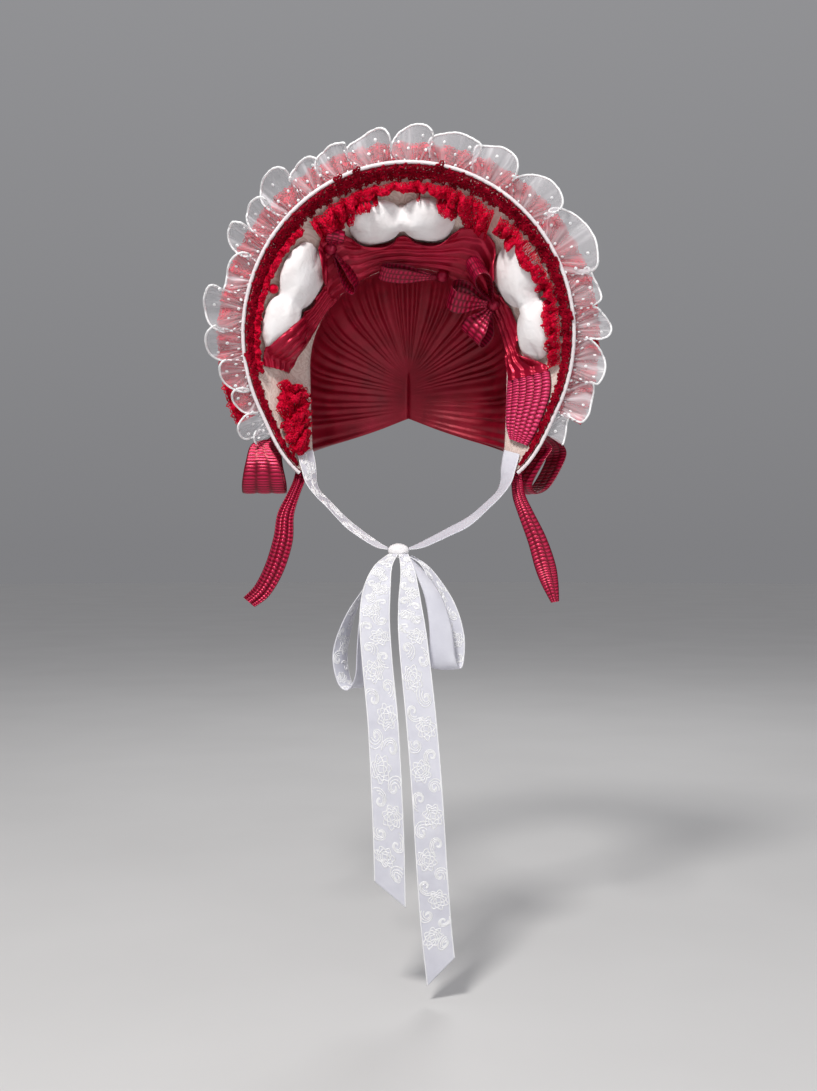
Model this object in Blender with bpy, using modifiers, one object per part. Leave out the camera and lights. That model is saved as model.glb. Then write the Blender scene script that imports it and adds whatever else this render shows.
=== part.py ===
"""A lolita bonnet in wine satin and cream brocade, as it looks when worn.

The frame is in metres, with +Z up. The wearer faces -Y, and +X is to the right seen from the front.
The origin is the top of the seam between brim and crown, where the bonnet sits on the head.
"""

import math
from collections import namedtuple

import bmesh
import bpy
from mathutils import Vector

# Brim: its rim is an arc in a plane that leans forward, and its seam is an arch with straight legs
RIM_RADIUS = 0.1635
RIM_CENTRE_Z = -0.083
RIM_FORWARD = 0.060
RIM_LEAN = 0.038
RIM_TURN = math.radians(140)
CORNER_FLARE = 0.008
CORNER_START = 0.82
SEAM_RADIUS = 0.103
SEAM_LEG = 0.092
SEAM_LEG_TAPER = 0.003
SEAM_FORWARD = 0.012

# Layers of the brim, measured from the face between shell and lining, positive towards the face
SHELL_WALL = 0.0016
LINING_GAP = 0.0004
LINING_WALL = 0.0010
LINING_FACE = LINING_GAP + LINING_WALL
SEAT_GAP = 0.0006
BRIM_COLUMNS = 48
PIPING_RADIUS = 0.0020

# Crown: a gathered hood, closed at the back and open at the nape
CROWN_WALL = 0.0016
CROWN_GAP = 0.0015
CROWN_GATHERS = 12
GATHER_DEPTH = 0.0022

# Frills and lace: seams are shares of the way from the brim's seam to its rim
ORGANZA_WALL = 0.0010
ORGANZA_SEAM = 0.955
FLUTE_SWING = 0.009
FLUTE_DIP = 0.009
LACE_WALL = 0.0010
OUTER_LACE_SEAM = 0.88
OUTER_LACE_END = 0.82
OUTER_LACE_REACH = 0.034
OUTER_LACE_FOLDS = 17
OUTER_LACE_SWING = 0.004
RIM_LACE_INNER = 0.895
RIM_LACE_OUTER = 0.975
RIM_LACE_SCALLOPS = 16

# Ribbons
SATIN_WALL = 0.0010
TIE_WALL = 0.0012
TIE_WIDTH = 0.0295

MERGE = 0.00001
DIFFERENCE = 0.002

Flute = namedtuple("Flute", "angle reach")
Arch = namedtuple("Arch", "back half top shoulder foot")
Section = namedtuple("Section", "x y z width heading tilt")
Puff = namedtuple("Puff", "name t v turn spread length first second")
Band = namedtuple("Band", "t low high")
Loop = namedtuple("Loop", "name t v h turn climb roll length width rise")
Knot = namedtuple("Knot", "name t v lift")

# Organza flutes from the left end over the top to the right end: degrees round the rim, reach past it
FLUTES = [
    Flute(-124, 0.020),
    Flute(-119, 0.031),
    Flute(-109, 0.024),
    Flute(-101, 0.029),
    Flute(-92, 0.039),
    Flute(-80, 0.043),
    Flute(-69, 0.028),
    Flute(-59, 0.042),
    Flute(-51, 0.038),
    Flute(-43, 0.044),
    Flute(-33, 0.034),
    Flute(-23, 0.034),
    Flute(-10, 0.036),
    Flute(1, 0.038),
    Flute(13, 0.036),
    Flute(27, 0.039),
    Flute(43, 0.041),
    Flute(60, 0.043),
    Flute(76, 0.032),
    Flute(87, 0.039),
    Flute(98, 0.036),
    Flute(112, 0.033),
    Flute(124, 0.022),
]

# The crown's arches from the seam to the back
CROWN_ARCHES = [
    Arch(0.000, 0.103, 0.000, -0.103, -0.195),
    Arch(0.030, 0.106, 0.003, -0.103, -0.192),
    Arch(0.062, 0.103, -0.005, -0.103, -0.187),
    Arch(0.090, 0.088, -0.025, -0.105, -0.179),
    Arch(0.107, 0.060, -0.049, -0.108, -0.169),
    Arch(0.116, 0.030, -0.074, -0.112, -0.158),
    Arch(0.118, 0.000, -0.094, -0.118, -0.146),
]

# Padded puffs of two lobes: middle, turn in degrees, lobe spacing and half length, the two half widths
PUFFS = [
    Puff("puff_left", -0.485, 0.555, 0, 0.028, 0.034, 0.025, 0.0245),
    Puff("puff_top", -0.022, 0.530, 0, 0.0265, 0.0305, 0.0235, 0.0235),
    Puff("puff_right", 0.487, 0.545, -3, 0.0295, 0.0330, 0.0255, 0.0230),
]
PUFF_HEIGHT = 0.019

# Ruffles on the lining: the sewn line and the free edge at places along the brim
LACE_TOP = [
    Band(-0.285, 0.69, 0.84),
    Band(-0.20, 0.69, 0.85),
    Band(-0.08, 0.74, 0.855),
    Band(0.06, 0.74, 0.855),
    Band(0.16, 0.66, 0.85),
    Band(0.245, 0.62, 0.83),
]
LACE_LEFT = [
    Band(-0.72, 0.81, 0.865),
    Band(-0.64, 0.80, 0.865),
    Band(-0.54, 0.82, 0.865),
    Band(-0.40, 0.82, 0.865),
    Band(-0.315, 0.80, 0.85),
]
LACE_RIGHT = [
    Band(0.265, 0.68, 0.84),
    Band(0.36, 0.82, 0.865),
    Band(0.48, 0.82, 0.865),
    Band(0.58, 0.80, 0.865),
    Band(0.70, 0.74, 0.86),
]
LACE_CHEEK = [
    Band(-0.965, 0.36, 0.82),
    Band(-0.92, 0.20, 0.80),
    Band(-0.86, 0.14, 0.74),
    Band(-0.79, 0.12, 0.62),
    Band(-0.745, 0.20, 0.50),
]

# Satin drapes and the shirred ladder ribbon: their two edges at places along the brim
SWAG_TOP = [
    Band(-0.355, 0.03, 0.20),
    Band(-0.295, 0.03, 0.32),
    Band(-0.225, 0.03, 0.55),
    Band(-0.16, 0.03, 0.42),
    Band(-0.03, 0.03, 0.35),
    Band(0.10, 0.03, 0.38),
    Band(0.19, 0.03, 0.55),
    Band(0.27, 0.03, 0.45),
    Band(0.345, 0.03, 0.20),
]
SWAG_LEFT = [
    Band(-0.375, 0.03, 0.22),
    Band(-0.46, 0.04, 0.34),
    Band(-0.56, 0.10, 0.58),
    Band(-0.64, 0.34, 0.77),
    Band(-0.695, 0.54, 0.76),
]
SWAG_RIGHT = [
    Band(0.37, 0.03, 0.26),
    Band(0.45, 0.03, 0.27),
    Band(0.52, 0.03, 0.28),
    Band(0.58, 0.03, 0.30),
    Band(0.635, 0.03, 0.36),
    Band(0.69, 0.05, 0.66),
]
LADDER = [
    Band(0.71, 0.04, 0.72),
    Band(0.76, 0.03, 0.80),
    Band(0.82, 0.03, 0.845),
    Band(0.89, 0.06, 0.845),
    Band(0.93, 0.20, 0.80),
]

# Ribbon loops on the brim: foot, turn along it, climb off it, roll, length, width and depth
BRIM_LOOPS = [
    Loop("bow_right_loop_upper", 0.404, 0.19, 0.0140, 143, 29, 40, 0.050, 0.030, 0.012),
    Loop("bow_right_loop_left", 0.404, 0.19, 0.0140, -148, 31, 15, 0.040, 0.030, 0.014),
    Loop("bow_right_loop_lower", 0.404, 0.19, 0.0140, -66, 18, -10, 0.036, 0.030, 0.013),
    Loop("bow_left_loop_upper", -0.268, 0.52, 0.008, 50, 20, 20, 0.018, 0.018, 0.008),
    Loop("bow_left_loop_lower", -0.268, 0.52, 0.009, -98, 27, 66, 0.042, 0.024, 0.007),
    Loop("brim_loop_top", 0.15, 0.04, 0.0110, 180, 24, 0, 0.060, 0.018, 0.007),
]
KNOT_RADIUS = 0.0065
BOW_KNOTS = [
    Knot("bow_right_knot", 0.404, 0.19, 0.0050),
    Knot("bow_left_knot", -0.268, 0.52, 0),
    Knot("brim_knot_top", 0.15, 0.05, 0.0018),
]
LACE_KNOT = (-0.485, 0.778)
LACE_KNOT_RADIUS = 0.0050

# Ladder ribbon at the brim's corners: a loop and a tail on each side
SIDE_LOOP_LEFT = [
    Section(-0.1297, -0.0306, -0.1790, 0.014, 38, 15),
    Section(-0.1500, -0.0340, -0.1860, 0.018, 0, 0),
    Section(-0.1480, -0.0420, -0.2050, 0.034, 0, 0),
    Section(-0.1475, -0.0400, -0.2260, 0.043, 0, 0),
    Section(-0.1475, -0.0260, -0.2360, 0.045, 0, 0),
    Section(-0.1475, -0.0120, -0.2250, 0.042, 0, 0),
    Section(-0.1480, -0.0060, -0.2050, 0.034, 0, 0),
    Section(-0.1430, -0.0120, -0.1870, 0.022, 20, 0),
    Section(-0.1365, -0.0215, -0.1780, 0.014, 38, 10),
]
SIDE_LOOP_RIGHT = [
    Section(0.1297, -0.0307, -0.1790, 0.014, -38, -15),
    Section(0.1385, -0.0240, -0.1900, 0.026, -50, 0),
    Section(0.1285, -0.0210, -0.2060, 0.034, -60, 0),
    Section(0.1175, -0.0200, -0.2280, 0.034, -60, 0),
    Section(0.1230, -0.0180, -0.2365, 0.034, -60, 0),
    Section(0.1350, -0.0130, -0.2310, 0.034, -60, 0),
    Section(0.1470, -0.0090, -0.2130, 0.034, -60, 0),
    Section(0.1540, -0.0080, -0.1950, 0.030, -55, 0),
    Section(0.1490, -0.0130, -0.1830, 0.020, -45, 0),
    Section(0.1395, -0.0200, -0.1780, 0.014, -38, 0),
]
SIDE_TAIL_LEFT = [
    Section(-0.1102, -0.0219, -0.2080, 0.012, 38, 15),
    Section(-0.1125, -0.0260, -0.2240, 0.012, 10, 0),
    Section(-0.1180, -0.0300, -0.2390, 0.013, 0, -6),
    Section(-0.1250, -0.0360, -0.2590, 0.017, 0, -6),
    Section(-0.1270, -0.0430, -0.2840, 0.020, 0, -14),
    Section(-0.1350, -0.0480, -0.3120, 0.020, 0, -28),
    Section(-0.1470, -0.0520, -0.3350, 0.018, 0, -38),
    Section(-0.1600, -0.0550, -0.3470, 0.015, 0, -40),
]
SIDE_TAIL_RIGHT = [
    Section(0.1105, -0.0215, -0.2080, 0.012, -38, -15),
    Section(0.1115, -0.0265, -0.2260, 0.012, -10, 0),
    Section(0.1130, -0.0310, -0.2400, 0.013, 0, 20),
    Section(0.1190, -0.0340, -0.2560, 0.015, 0, 22),
    Section(0.1306, -0.0380, -0.2840, 0.019, 0, 20),
    Section(0.1384, -0.0420, -0.3100, 0.021, 0, 16),
    Section(0.1430, -0.0460, -0.3280, 0.017, 0, 14),
    Section(0.1480, -0.0480, -0.3470, 0.008, 0, 12),
]

# Chin tie: a strap down each cheek to the knot, two loops and two tails
STRAP_LEFT = [
    Section(-0.1062, -0.0235, -0.1940, 0.020, 38, 15),
    Section(-0.1020, -0.0282, -0.2110, 0.022, 52, 12),
    Section(-0.0990, -0.0335, -0.2250, 0.026, 70, 6),
    Section(-0.0920, -0.0395, -0.2370, 0.028, 85, 0),
    Section(-0.0810, -0.0460, -0.2480, 0.028, 90, 0),
    Section(-0.0641, -0.0550, -0.2654, 0.028, 90, 0),
    Section(-0.0511, -0.0600, -0.2759, 0.028, 90, 0),
    Section(-0.0319, -0.0660, -0.2885, 0.026, 90, 0),
    Section(-0.0205, -0.0735, -0.2930, 0.013, 90, 0),
]
TIE_KNOT_CENTRE = (-0.0100, -0.0760, -0.2950)
TIE_KNOT_RADII = (0.0105, 0.0080, 0.0075)
TIE_LOOP_LEFT = [
    Section(-0.0192, -0.0783, -0.3000, 0.009, 66, 0),
    Section(-0.0360, -0.0840, -0.3210, 0.018, 72, 20),
    Section(-0.0560, -0.0900, -0.3560, 0.026, 66, 10),
    Section(-0.0660, -0.0960, -0.3920, 0.028, 64, 0),
    Section(-0.0630, -0.1000, -0.4200, 0.028, 64, 0),
    Section(-0.0530, -0.1020, -0.4290, 0.028, 64, 0),
    Section(-0.0450, -0.1000, -0.4150, 0.028, 64, 0),
    Section(-0.0440, -0.0940, -0.3850, 0.026, 64, 0),
    Section(-0.0400, -0.0860, -0.3500, 0.022, 66, 0),
    Section(-0.0280, -0.0780, -0.3200, 0.014, 66, 0),
    Section(-0.0160, -0.0742, -0.3026, 0.008, 66, 0),
]
TIE_LOOP_RIGHT = [
    Section(0.0008, -0.0737, -0.2998, 0.010, 60, 0),
    Section(0.0180, -0.0760, -0.3120, 0.016, 40, -20),
    Section(0.0340, -0.0820, -0.3400, 0.023, 22, -18),
    Section(0.0420, -0.0860, -0.3750, 0.026, 12, -6),
    Section(0.0410, -0.0900, -0.4020, 0.027, 6, 0),
    Section(0.0370, -0.0960, -0.4095, 0.027, 4, 0),
    Section(0.0330, -0.1010, -0.4000, 0.026, 4, 0),
    Section(0.0310, -0.0990, -0.3700, 0.022, 8, 0),
    Section(0.0240, -0.0930, -0.3400, 0.017, 16, 0),
    Section(0.0110, -0.0850, -0.3160, 0.012, 40, 0),
    Section(-0.0012, -0.0785, -0.3015, 0.008, 60, 0),
]
TIE_TAIL_LEFT = [
    Section(-0.0150, -0.0838, -0.2985, 0.009, 0, 0),
    Section(-0.0250, -0.0980, -0.3110, 0.018, 0, 0),
    Section(-0.0307, -0.1060, -0.3334, 0.027, 0, 0),
    Section(-0.0325, -0.1130, -0.3622, TIE_WIDTH, 0, 0),
    Section(-0.0299, -0.1200, -0.4003, TIE_WIDTH, 0, 0),
    Section(-0.0243, -0.1300, -0.4563, TIE_WIDTH, 0, 0),
    Section(-0.0205, -0.1390, -0.5210, TIE_WIDTH, 0, 0),
    Section(-0.0183, -0.1420, -0.5758, TIE_WIDTH, 0, 0),
    Section(-0.0174, -0.1430, -0.6169, TIE_WIDTH, 0, 0),
]
TIE_TAIL_RIGHT = [
    Section(-0.0050, -0.0838, -0.2985, 0.009, 0, 0),
    Section(-0.0005, -0.0970, -0.3160, 0.014, 0, 0),
    Section(0.0015, -0.1050, -0.3488, 0.023, 0, 0),
    Section(0.0046, -0.1130, -0.3832, 0.028, 0, 0),
    Section(0.0121, -0.1280, -0.4563, TIE_WIDTH, 0, 0),
    Section(0.0174, -0.1390, -0.5210, TIE_WIDTH, 0, 0),
    Section(0.0216, -0.1430, -0.5878, TIE_WIDTH, 0, 0),
    Section(0.0257, -0.1450, -0.6451, TIE_WIDTH, 0, 0),
    Section(0.0304, -0.1460, -0.6887, TIE_WIDTH, 0, 0),
]
TAIL_SLANT_LEFT = 0.025
TAIL_SLANT_RIGHT = -0.027


def ease(value):
    """Goes smoothly from 0 to 1."""
    value = min(1.0, max(0.0, value))
    return value * value * (3 - 2 * value)


def mix(a, b, share):
    return a + (b - a) * share


def between(rows, share):
    """The row at a share of the way through a table, smoothed through its rows."""
    place = min(max(share, 0.0), 1.0) * (len(rows) - 1)
    i = min(int(place), len(rows) - 2)
    u = place - i
    before, start, end, after = (rows[min(max(i + k, 0), len(rows) - 1)] for k in (-1, 0, 1, 2))
    values = []
    for a, b, c, d in zip(before, start, end, after):
        bend = 2 * a - 5 * b + 4 * c - d
        twist = 3 * b - a - 3 * c + d
        values.append(b + 0.5 * u * (c - a + u * (bend + u * twist)))
    return type(rows[0])(*values)


def rim_angle(t):
    """The angle from straight up, at a share t of the half rim."""
    return RIM_TURN * t


def rim_point(t):
    """A point on the rim: t runs from -1 at the left corner over the top to 1 at the right corner."""
    angle = rim_angle(t)
    reach = RIM_RADIUS + CORNER_FLARE * ease((abs(t) - CORNER_START) / (1 - CORNER_START))
    forward = RIM_FORWARD + RIM_LEAN * math.cos(angle)
    return Vector((reach * math.sin(angle), -forward, RIM_CENTRE_Z + reach * math.cos(angle)))


def seam_point(t):
    """A point on the seam of brim and crown, by the same t."""
    side = math.copysign(1, t)
    quarter = SEAM_RADIUS * math.pi / 2
    along = abs(t) * (quarter + SEAM_LEG)
    y = -SEAM_FORWARD * ease(2 * abs(t) - 1)
    if along < quarter:
        angle = along / SEAM_RADIUS
        return Vector((side * SEAM_RADIUS * math.sin(angle), y, SEAM_RADIUS * (math.cos(angle) - 1)))
    down = along - quarter
    return Vector((side * (SEAM_RADIUS - SEAM_LEG_TAPER * down / SEAM_LEG), y, -SEAM_RADIUS - down))


def brim_flat(t, v):
    """A point on the face between shell and lining: v runs from 0 at the seam to 1 at the rim."""
    return seam_point(t).lerp(rim_point(t), v)


def brim_normal(t, v):
    """The direction off the brim towards the wearer's face."""
    t = min(max(t, -1 + DIFFERENCE), 1 - DIFFERENCE)
    along = brim_flat(t + DIFFERENCE, v) - brim_flat(t - DIFFERENCE, v)
    across = brim_flat(t, v + DIFFERENCE) - brim_flat(t, v - DIFFERENCE)
    return along.cross(across).normalized()


def brim_point(t, v, h=0.0):
    """A point h off the brim."""
    return brim_flat(t, v) + brim_normal(t, v) * h


def material(name, colour, roughness, metallic=0.0, alpha=1.0):
    made = bpy.data.materials.new(name)
    made.use_nodes = True
    shader = made.node_tree.nodes["Principled BSDF"]
    shader.inputs["Base Color"].default_value = (*colour, 1.0)
    shader.inputs["Roughness"].default_value = roughness
    shader.inputs["Metallic"].default_value = metallic
    shader.inputs["Alpha"].default_value = alpha
    return made


def add_object(name, data, finish):
    made = bpy.data.objects.new(name, data)
    made.data.materials.append(finish)
    bonnet.objects.link(made)
    return made


def cloth(name, columns, rows, place, wall, finish, weld=False):
    """A sheet of cloth: a grid primitive whose points are moved by place(s, q), then given its wall."""
    bm = bmesh.new()
    bmesh.ops.create_grid(bm, x_segments=columns, y_segments=rows, size=0.5)
    for vert in bm.verts:
        vert.co = place(vert.co.x + 0.5, vert.co.y + 0.5)
    if weld:
        bmesh.ops.remove_doubles(bm, verts=bm.verts, dist=MERGE)
    mesh = bpy.data.meshes.new(name)
    bm.to_mesh(mesh)
    bm.free()
    mesh.shade_smooth()
    made = add_object(name, mesh, finish)
    solidify = made.modifiers.new("wall", "SOLIDIFY")
    solidify.thickness = wall
    solidify.offset = 0
    return made


def ribbon(name, sections, columns, rows, wall, finish, cut=0.0, cup=0.0, folds=0, fold_depth=0.0):
    """A ribbon through its sections. Its across direction is a heading in the floor plane, 0 at +X and
    90 at +Y, and a tilt above it. cut slants its far end, cup bows it and folds ripple it across."""

    def frame(s):
        row = between(sections, s)
        heading, tilt = math.radians(row.heading), math.radians(row.tilt)
        flat = math.cos(tilt)
        across = Vector((flat * math.cos(heading), flat * math.sin(heading), math.sin(tilt)))
        return Vector(row[:3]), across, row.width

    def place(s, q):
        centre, across, width = frame(s)
        ahead = frame(min(1, s + DIFFERENCE))[0] - frame(max(0, s - DIFFERENCE))[0]
        along = ahead.normalized()
        face = along.cross(across).normalized()
        side = q - 0.5
        bow = cup * (1 - 4 * side * side) + fold_depth * math.cos(2 * math.pi * folds * side)
        return centre + across * width * side + face * bow + along * cut * side * ease(5 * s - 4)

    return cloth(name, columns, rows, place, wall, finish)


def add_brim():
    def shell(s, q):
        return brim_point(2 * s - 1, q, -SHELL_WALL / 2)

    def lining(s, q):
        return brim_point(0.998 * (2 * s - 1), mix(0.012, 0.985, q), LINING_GAP + LINING_WALL / 2)

    cloth("brim", BRIM_COLUMNS, 2, shell, SHELL_WALL, wine_satin)
    cloth("brim_lining", BRIM_COLUMNS, 2, lining, LINING_WALL, cream_brocade)


def add_piping():
    """The white cord sewn round the rim, a POLY tube just off the shell's edge."""
    points = BRIM_COLUMNS + 1
    curve = bpy.data.curves.new("rim_piping", "CURVE")
    curve.dimensions = "3D"
    curve.bevel_depth = PIPING_RADIUS
    curve.bevel_resolution = 1
    curve.use_fill_caps = True
    spline = curve.splines.new("POLY")
    spline.points.add(points - 1)
    for i, point in enumerate(spline.points):
        t = 2 * i / (points - 1) - 1
        slope = (brim_flat(t, 1) - brim_flat(t, 0)).normalized()
        centre = brim_flat(t, 1) + slope * (PIPING_RADIUS + SEAT_GAP)
        point.co = (*centre, 1)
    add_object("rim_piping", curve, white_cord)


def crown_point(s, q):
    """The hood: s runs round each arch from left to right, and q from the seam to the back."""
    t = 2 * s - 1
    side = math.copysign(1, t)
    row = between(CROWN_ARCHES, q)
    quarter = SEAM_RADIUS * math.pi / 2
    along = abs(t) * (quarter + SEAM_LEG)
    lean = mix(seam_point(t).y, 0, ease(2 * q)) + CROWN_GAP
    swell = GATHER_DEPTH * math.sin(math.pi * q) * math.cos(math.pi * CROWN_GATHERS * t)
    if along < quarter:
        angle = along / SEAM_RADIUS
        width = (row.half + swell) * math.sin(angle)
        height = row.shoulder + (row.top - row.shoulder + swell) * math.cos(angle)
        return Vector((side * width, row.back + lean, height))
    down = (along - quarter) / SEAM_LEG
    taper = SEAM_LEG_TAPER * down * (1 - q)
    width = row.half - taper + swell
    return Vector((side * width, row.back + lean, mix(row.shoulder, row.foot, down)))


def add_crown():
    cloth("crown", BRIM_COLUMNS, 5, crown_point, CROWN_WALL, wine_satin, weld=True)


def add_organza_frill():
    """Sheer gathered organza behind the piping: flutes swing forward and back round its free edge."""
    def place(s, q):
        flute = s * (len(FLUTES) - 1)
        i = min(int(flute), len(FLUTES) - 2)
        u = flute - i
        degrees = mix(FLUTES[i].angle, FLUTES[i + 1].angle, u)
        reach = mix(FLUTES[i].reach, FLUTES[i + 1].reach, ease(u)) - FLUTE_DIP * math.sin(math.pi * u) ** 2
        out = reach * q
        forward = 0.25 * out + FLUTE_SWING * math.sin(2 * math.pi * u) * q ** 1.5
        angle = math.radians(degrees)
        base = brim_point(angle / RIM_TURN, ORGANZA_SEAM, -SHELL_WALL - SEAT_GAP - ORGANZA_WALL / 2)
        return base + Vector((out * math.sin(angle), -forward, out * math.cos(angle)))

    cloth("organza_frill", 5 * (len(FLUTES) - 1), 3, place, ORGANZA_WALL, organza)


def add_outer_lace_frill():
    """The red lace frill behind the organza, sewn to the outside of the brim."""
    def place(s, q):
        t = OUTER_LACE_END * (2 * s - 1)
        ripple = math.sin(2 * math.pi * OUTER_LACE_FOLDS * s)
        angle = rim_angle(t)
        base = brim_point(t, OUTER_LACE_SEAM, -SHELL_WALL - SEAT_GAP - LACE_WALL / 2)
        out = OUTER_LACE_REACH * q
        back = 0.12 * out + OUTER_LACE_SWING * (1 + ripple) * q
        return base + Vector((out * math.sin(angle), back, out * math.cos(angle)))

    cloth("outer_lace_frill", 3 * OUTER_LACE_FOLDS, 2, place, LACE_WALL, red_lace)


def seated(wall):
    """The height of the middle of a wall that lies just off the lining."""
    return LINING_FACE + SEAT_GAP + wall / 2


def add_rim_lace():
    """Wine lace sewn to the lining just inside the piping, with a scalloped inner edge."""
    def place(s, q):
        inner = RIM_LACE_INNER + 0.010 * math.cos(2 * math.pi * RIM_LACE_SCALLOPS * s)
        return brim_point(0.985 * (2 * s - 1), mix(inner, RIM_LACE_OUTER, q), seated(LACE_WALL))

    cloth("rim_lace", 3 * RIM_LACE_SCALLOPS, 1, place, LACE_WALL, wine_lace)


def brim_scale(t, v):
    """Metres for one unit of t and of v, at a place on the brim."""
    along = (brim_flat(t + 0.05, v) - brim_flat(t - 0.05, v)).length / 0.1
    return along, (brim_flat(t, 1) - brim_flat(t, 0)).length


def puff_half(puff, along):
    """Half the width of a puff at a distance along it from its middle."""
    widest = 0.0
    for centre, half in ((-puff.spread, puff.first), (puff.spread, puff.second)):
        share = abs(along - centre) / puff.length
        if share < 1:
            widest = max(widest, half * (1 - share**2.5) ** 0.4)
    return widest


def add_puff(puff):
    """A padded white puff of two lobes with a pinch between them, seated on the lining."""
    along_scale, across_scale = brim_scale(puff.t, puff.v)
    turn = math.radians(puff.turn)
    reach = puff.spread + puff.length
    bm = bmesh.new()
    bmesh.ops.create_uvsphere(bm, u_segments=12, v_segments=16, radius=1)
    for vert in bm.verts:
        x, y, z = vert.co
        ring = max(math.hypot(x, y), MERGE)
        along = reach * z * 0.999
        half = puff_half(puff, along)
        height = PUFF_HEIGHT * half / max(puff.first, puff.second)
        side = half * x / ring
        lift = LINING_FACE + SEAT_GAP + height * (0.5 + 0.5 * y / ring)
        a = along * math.cos(turn) - side * math.sin(turn)
        b = along * math.sin(turn) + side * math.cos(turn)
        vert.co = brim_point(puff.t + a / along_scale, puff.v + b / across_scale, lift)
    mesh = bpy.data.meshes.new(puff.name)
    bm.to_mesh(mesh)
    bm.free()
    mesh.shade_smooth()
    add_object(puff.name, mesh, white_puff)


def puff_cover(t, v):
    """How high the puffs stand at a place on the brim."""
    highest = 0.0
    for puff in PUFFS:
        along_scale, across_scale = brim_scale(puff.t, puff.v)
        turn = math.radians(-puff.turn)
        a, b = (t - puff.t) * along_scale, (v - puff.v) * across_scale
        along = a * math.cos(turn) - b * math.sin(turn)
        side = abs(a * math.sin(turn) + b * math.cos(turn))
        half = puff_half(puff, along)
        if side < half:
            height = PUFF_HEIGHT * half / max(puff.first, puff.second)
            highest = max(highest, height * (0.5 + 0.5 * math.sqrt(1 - (side / half) ** 2)))
    return highest


def add_ruffle(name, bands, folds, rise):
    """Red lace gathered along a line on the lining, its free edge standing off it in folds."""

    def place(s, q):
        row = between(bands, s)
        ripple = math.cos(2 * math.pi * folds * s)
        v = mix(row.low, row.high + 0.01 * ripple, q)
        height = seated(LACE_WALL) + (rise + 0.3 * rise * ripple) * math.sin(math.pi / 2 * q)
        return brim_point(row.t, v, height)

    cloth(name, 3 * folds, 2, place, LACE_WALL, red_lace)


def add_drape(name, bands, columns, rows, rise, finish):
    """Satin draped along the brim, over any puff that lies under it."""

    def place(s, q):
        row = between(bands, s)
        v = mix(row.low, row.high, q)
        height = rise * math.sin(math.pi * q)
        cover = max(puff_cover(row.t + a, v + b) for a in (-0.015, 0, 0.015) for b in (-0.04, 0, 0.04))
        return brim_point(row.t, v, seated(SATIN_WALL) + max(height, cover * 1.05 + 0.0015 * (cover > 0)))

    cloth(name, columns, rows, place, SATIN_WALL, finish)


def add_brim_loop(loop):
    """A teardrop loop of ribbon that starts beside its knot and points along or off the brim."""
    step = DIFFERENCE
    along = (brim_flat(loop.t + step, loop.v) - brim_flat(loop.t - step, loop.v)).normalized()
    normal = brim_normal(loop.t, loop.v)
    slope = normal.cross(along)
    turn, climb, roll = (math.radians(value) for value in (loop.turn, loop.climb, loop.roll))
    level = along * math.cos(turn) + slope * math.sin(turn)
    ahead = level * math.cos(climb) + normal * math.sin(climb)
    flat_side = level.cross(normal)
    off = flat_side.cross(ahead)
    side = flat_side * math.cos(roll) + off * math.sin(roll)
    depth = side.cross(ahead)
    foot = brim_point(loop.t, loop.v, loop.h) + ahead * (KNOT_RADIUS + SEAT_GAP / 2)

    def place(s, q):
        phase = 2 * math.pi * s
        reach = (1 - math.cos(phase)) / 2
        belly = -loop.rise * math.sin(phase) * reach + (s - 0.5) * 2.4 * SATIN_WALL
        width = loop.width * (0.35 + 0.65 * ease(1.6 * reach))
        return foot + ahead * loop.length * reach + depth * belly + side * width * (q - 0.5)

    cloth(loop.name, 14, 1, place, SATIN_WALL, ladder_satin)


def add_knot(name, centre, radii, finish):
    bm = bmesh.new()
    bmesh.ops.create_uvsphere(bm, u_segments=8, v_segments=6, radius=1)
    for vert in bm.verts:
        vert.co = Vector(radius * value for radius, value in zip(radii, vert.co))
    mesh = bpy.data.meshes.new(name)
    bm.to_mesh(mesh)
    bm.free()
    mesh.shade_smooth()
    made = add_object(name, mesh, finish)
    made.location = centre


def add_lining_trim():
    """Puffs, lace, satin drapes and small bows on the inside of the brim."""
    for puff in PUFFS:
        add_puff(puff)
    add_ruffle("puff_lace_top", LACE_TOP, 7, 0.010)
    add_ruffle("puff_lace_left", LACE_LEFT, 7, 0.009)
    add_ruffle("puff_lace_right", LACE_RIGHT, 7, 0.011)
    add_ruffle("cheek_lace_left", LACE_CHEEK, 5, 0.007)
    add_drape("swag_top", SWAG_TOP, 18, 5, 0.0035, wine_satin)
    add_drape("swag_left", SWAG_LEFT, 12, 6, 0.005, wine_satin)
    add_drape("swag_right", SWAG_RIGHT, 10, 4, 0.005, wine_satin)
    add_drape("ladder_ribbon_right", LADDER, 8, 6, 0.005, ladder_satin)
    for loop in BRIM_LOOPS:
        add_brim_loop(loop)
    for knot in BOW_KNOTS:
        centre = brim_point(knot.t, knot.v, LINING_FACE + SEAT_GAP + KNOT_RADIUS + knot.lift)
        add_knot(knot.name, centre, (KNOT_RADIUS,) * 3, ladder_satin)
    centre = brim_point(*LACE_KNOT, LINING_FACE + SEAT_GAP + LACE_KNOT_RADIUS)
    add_knot("lace_knot_left", centre, (LACE_KNOT_RADIUS,) * 3, red_lace)


def add_side_ribbons():
    """Ladder ribbon bows that hang from the outside of the brim's corners."""
    ribbon("side_loop_left", SIDE_LOOP_LEFT, 20, 1, SATIN_WALL, ladder_satin)
    ribbon("side_loop_right", SIDE_LOOP_RIGHT, 20, 1, SATIN_WALL, ladder_satin)
    ribbon("side_tail_left", SIDE_TAIL_LEFT, 14, 4, SATIN_WALL, ladder_satin, folds=2, fold_depth=0.0015)
    ribbon("side_tail_right", SIDE_TAIL_RIGHT, 14, 2, SATIN_WALL, ladder_satin, cup=0.002)


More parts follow.
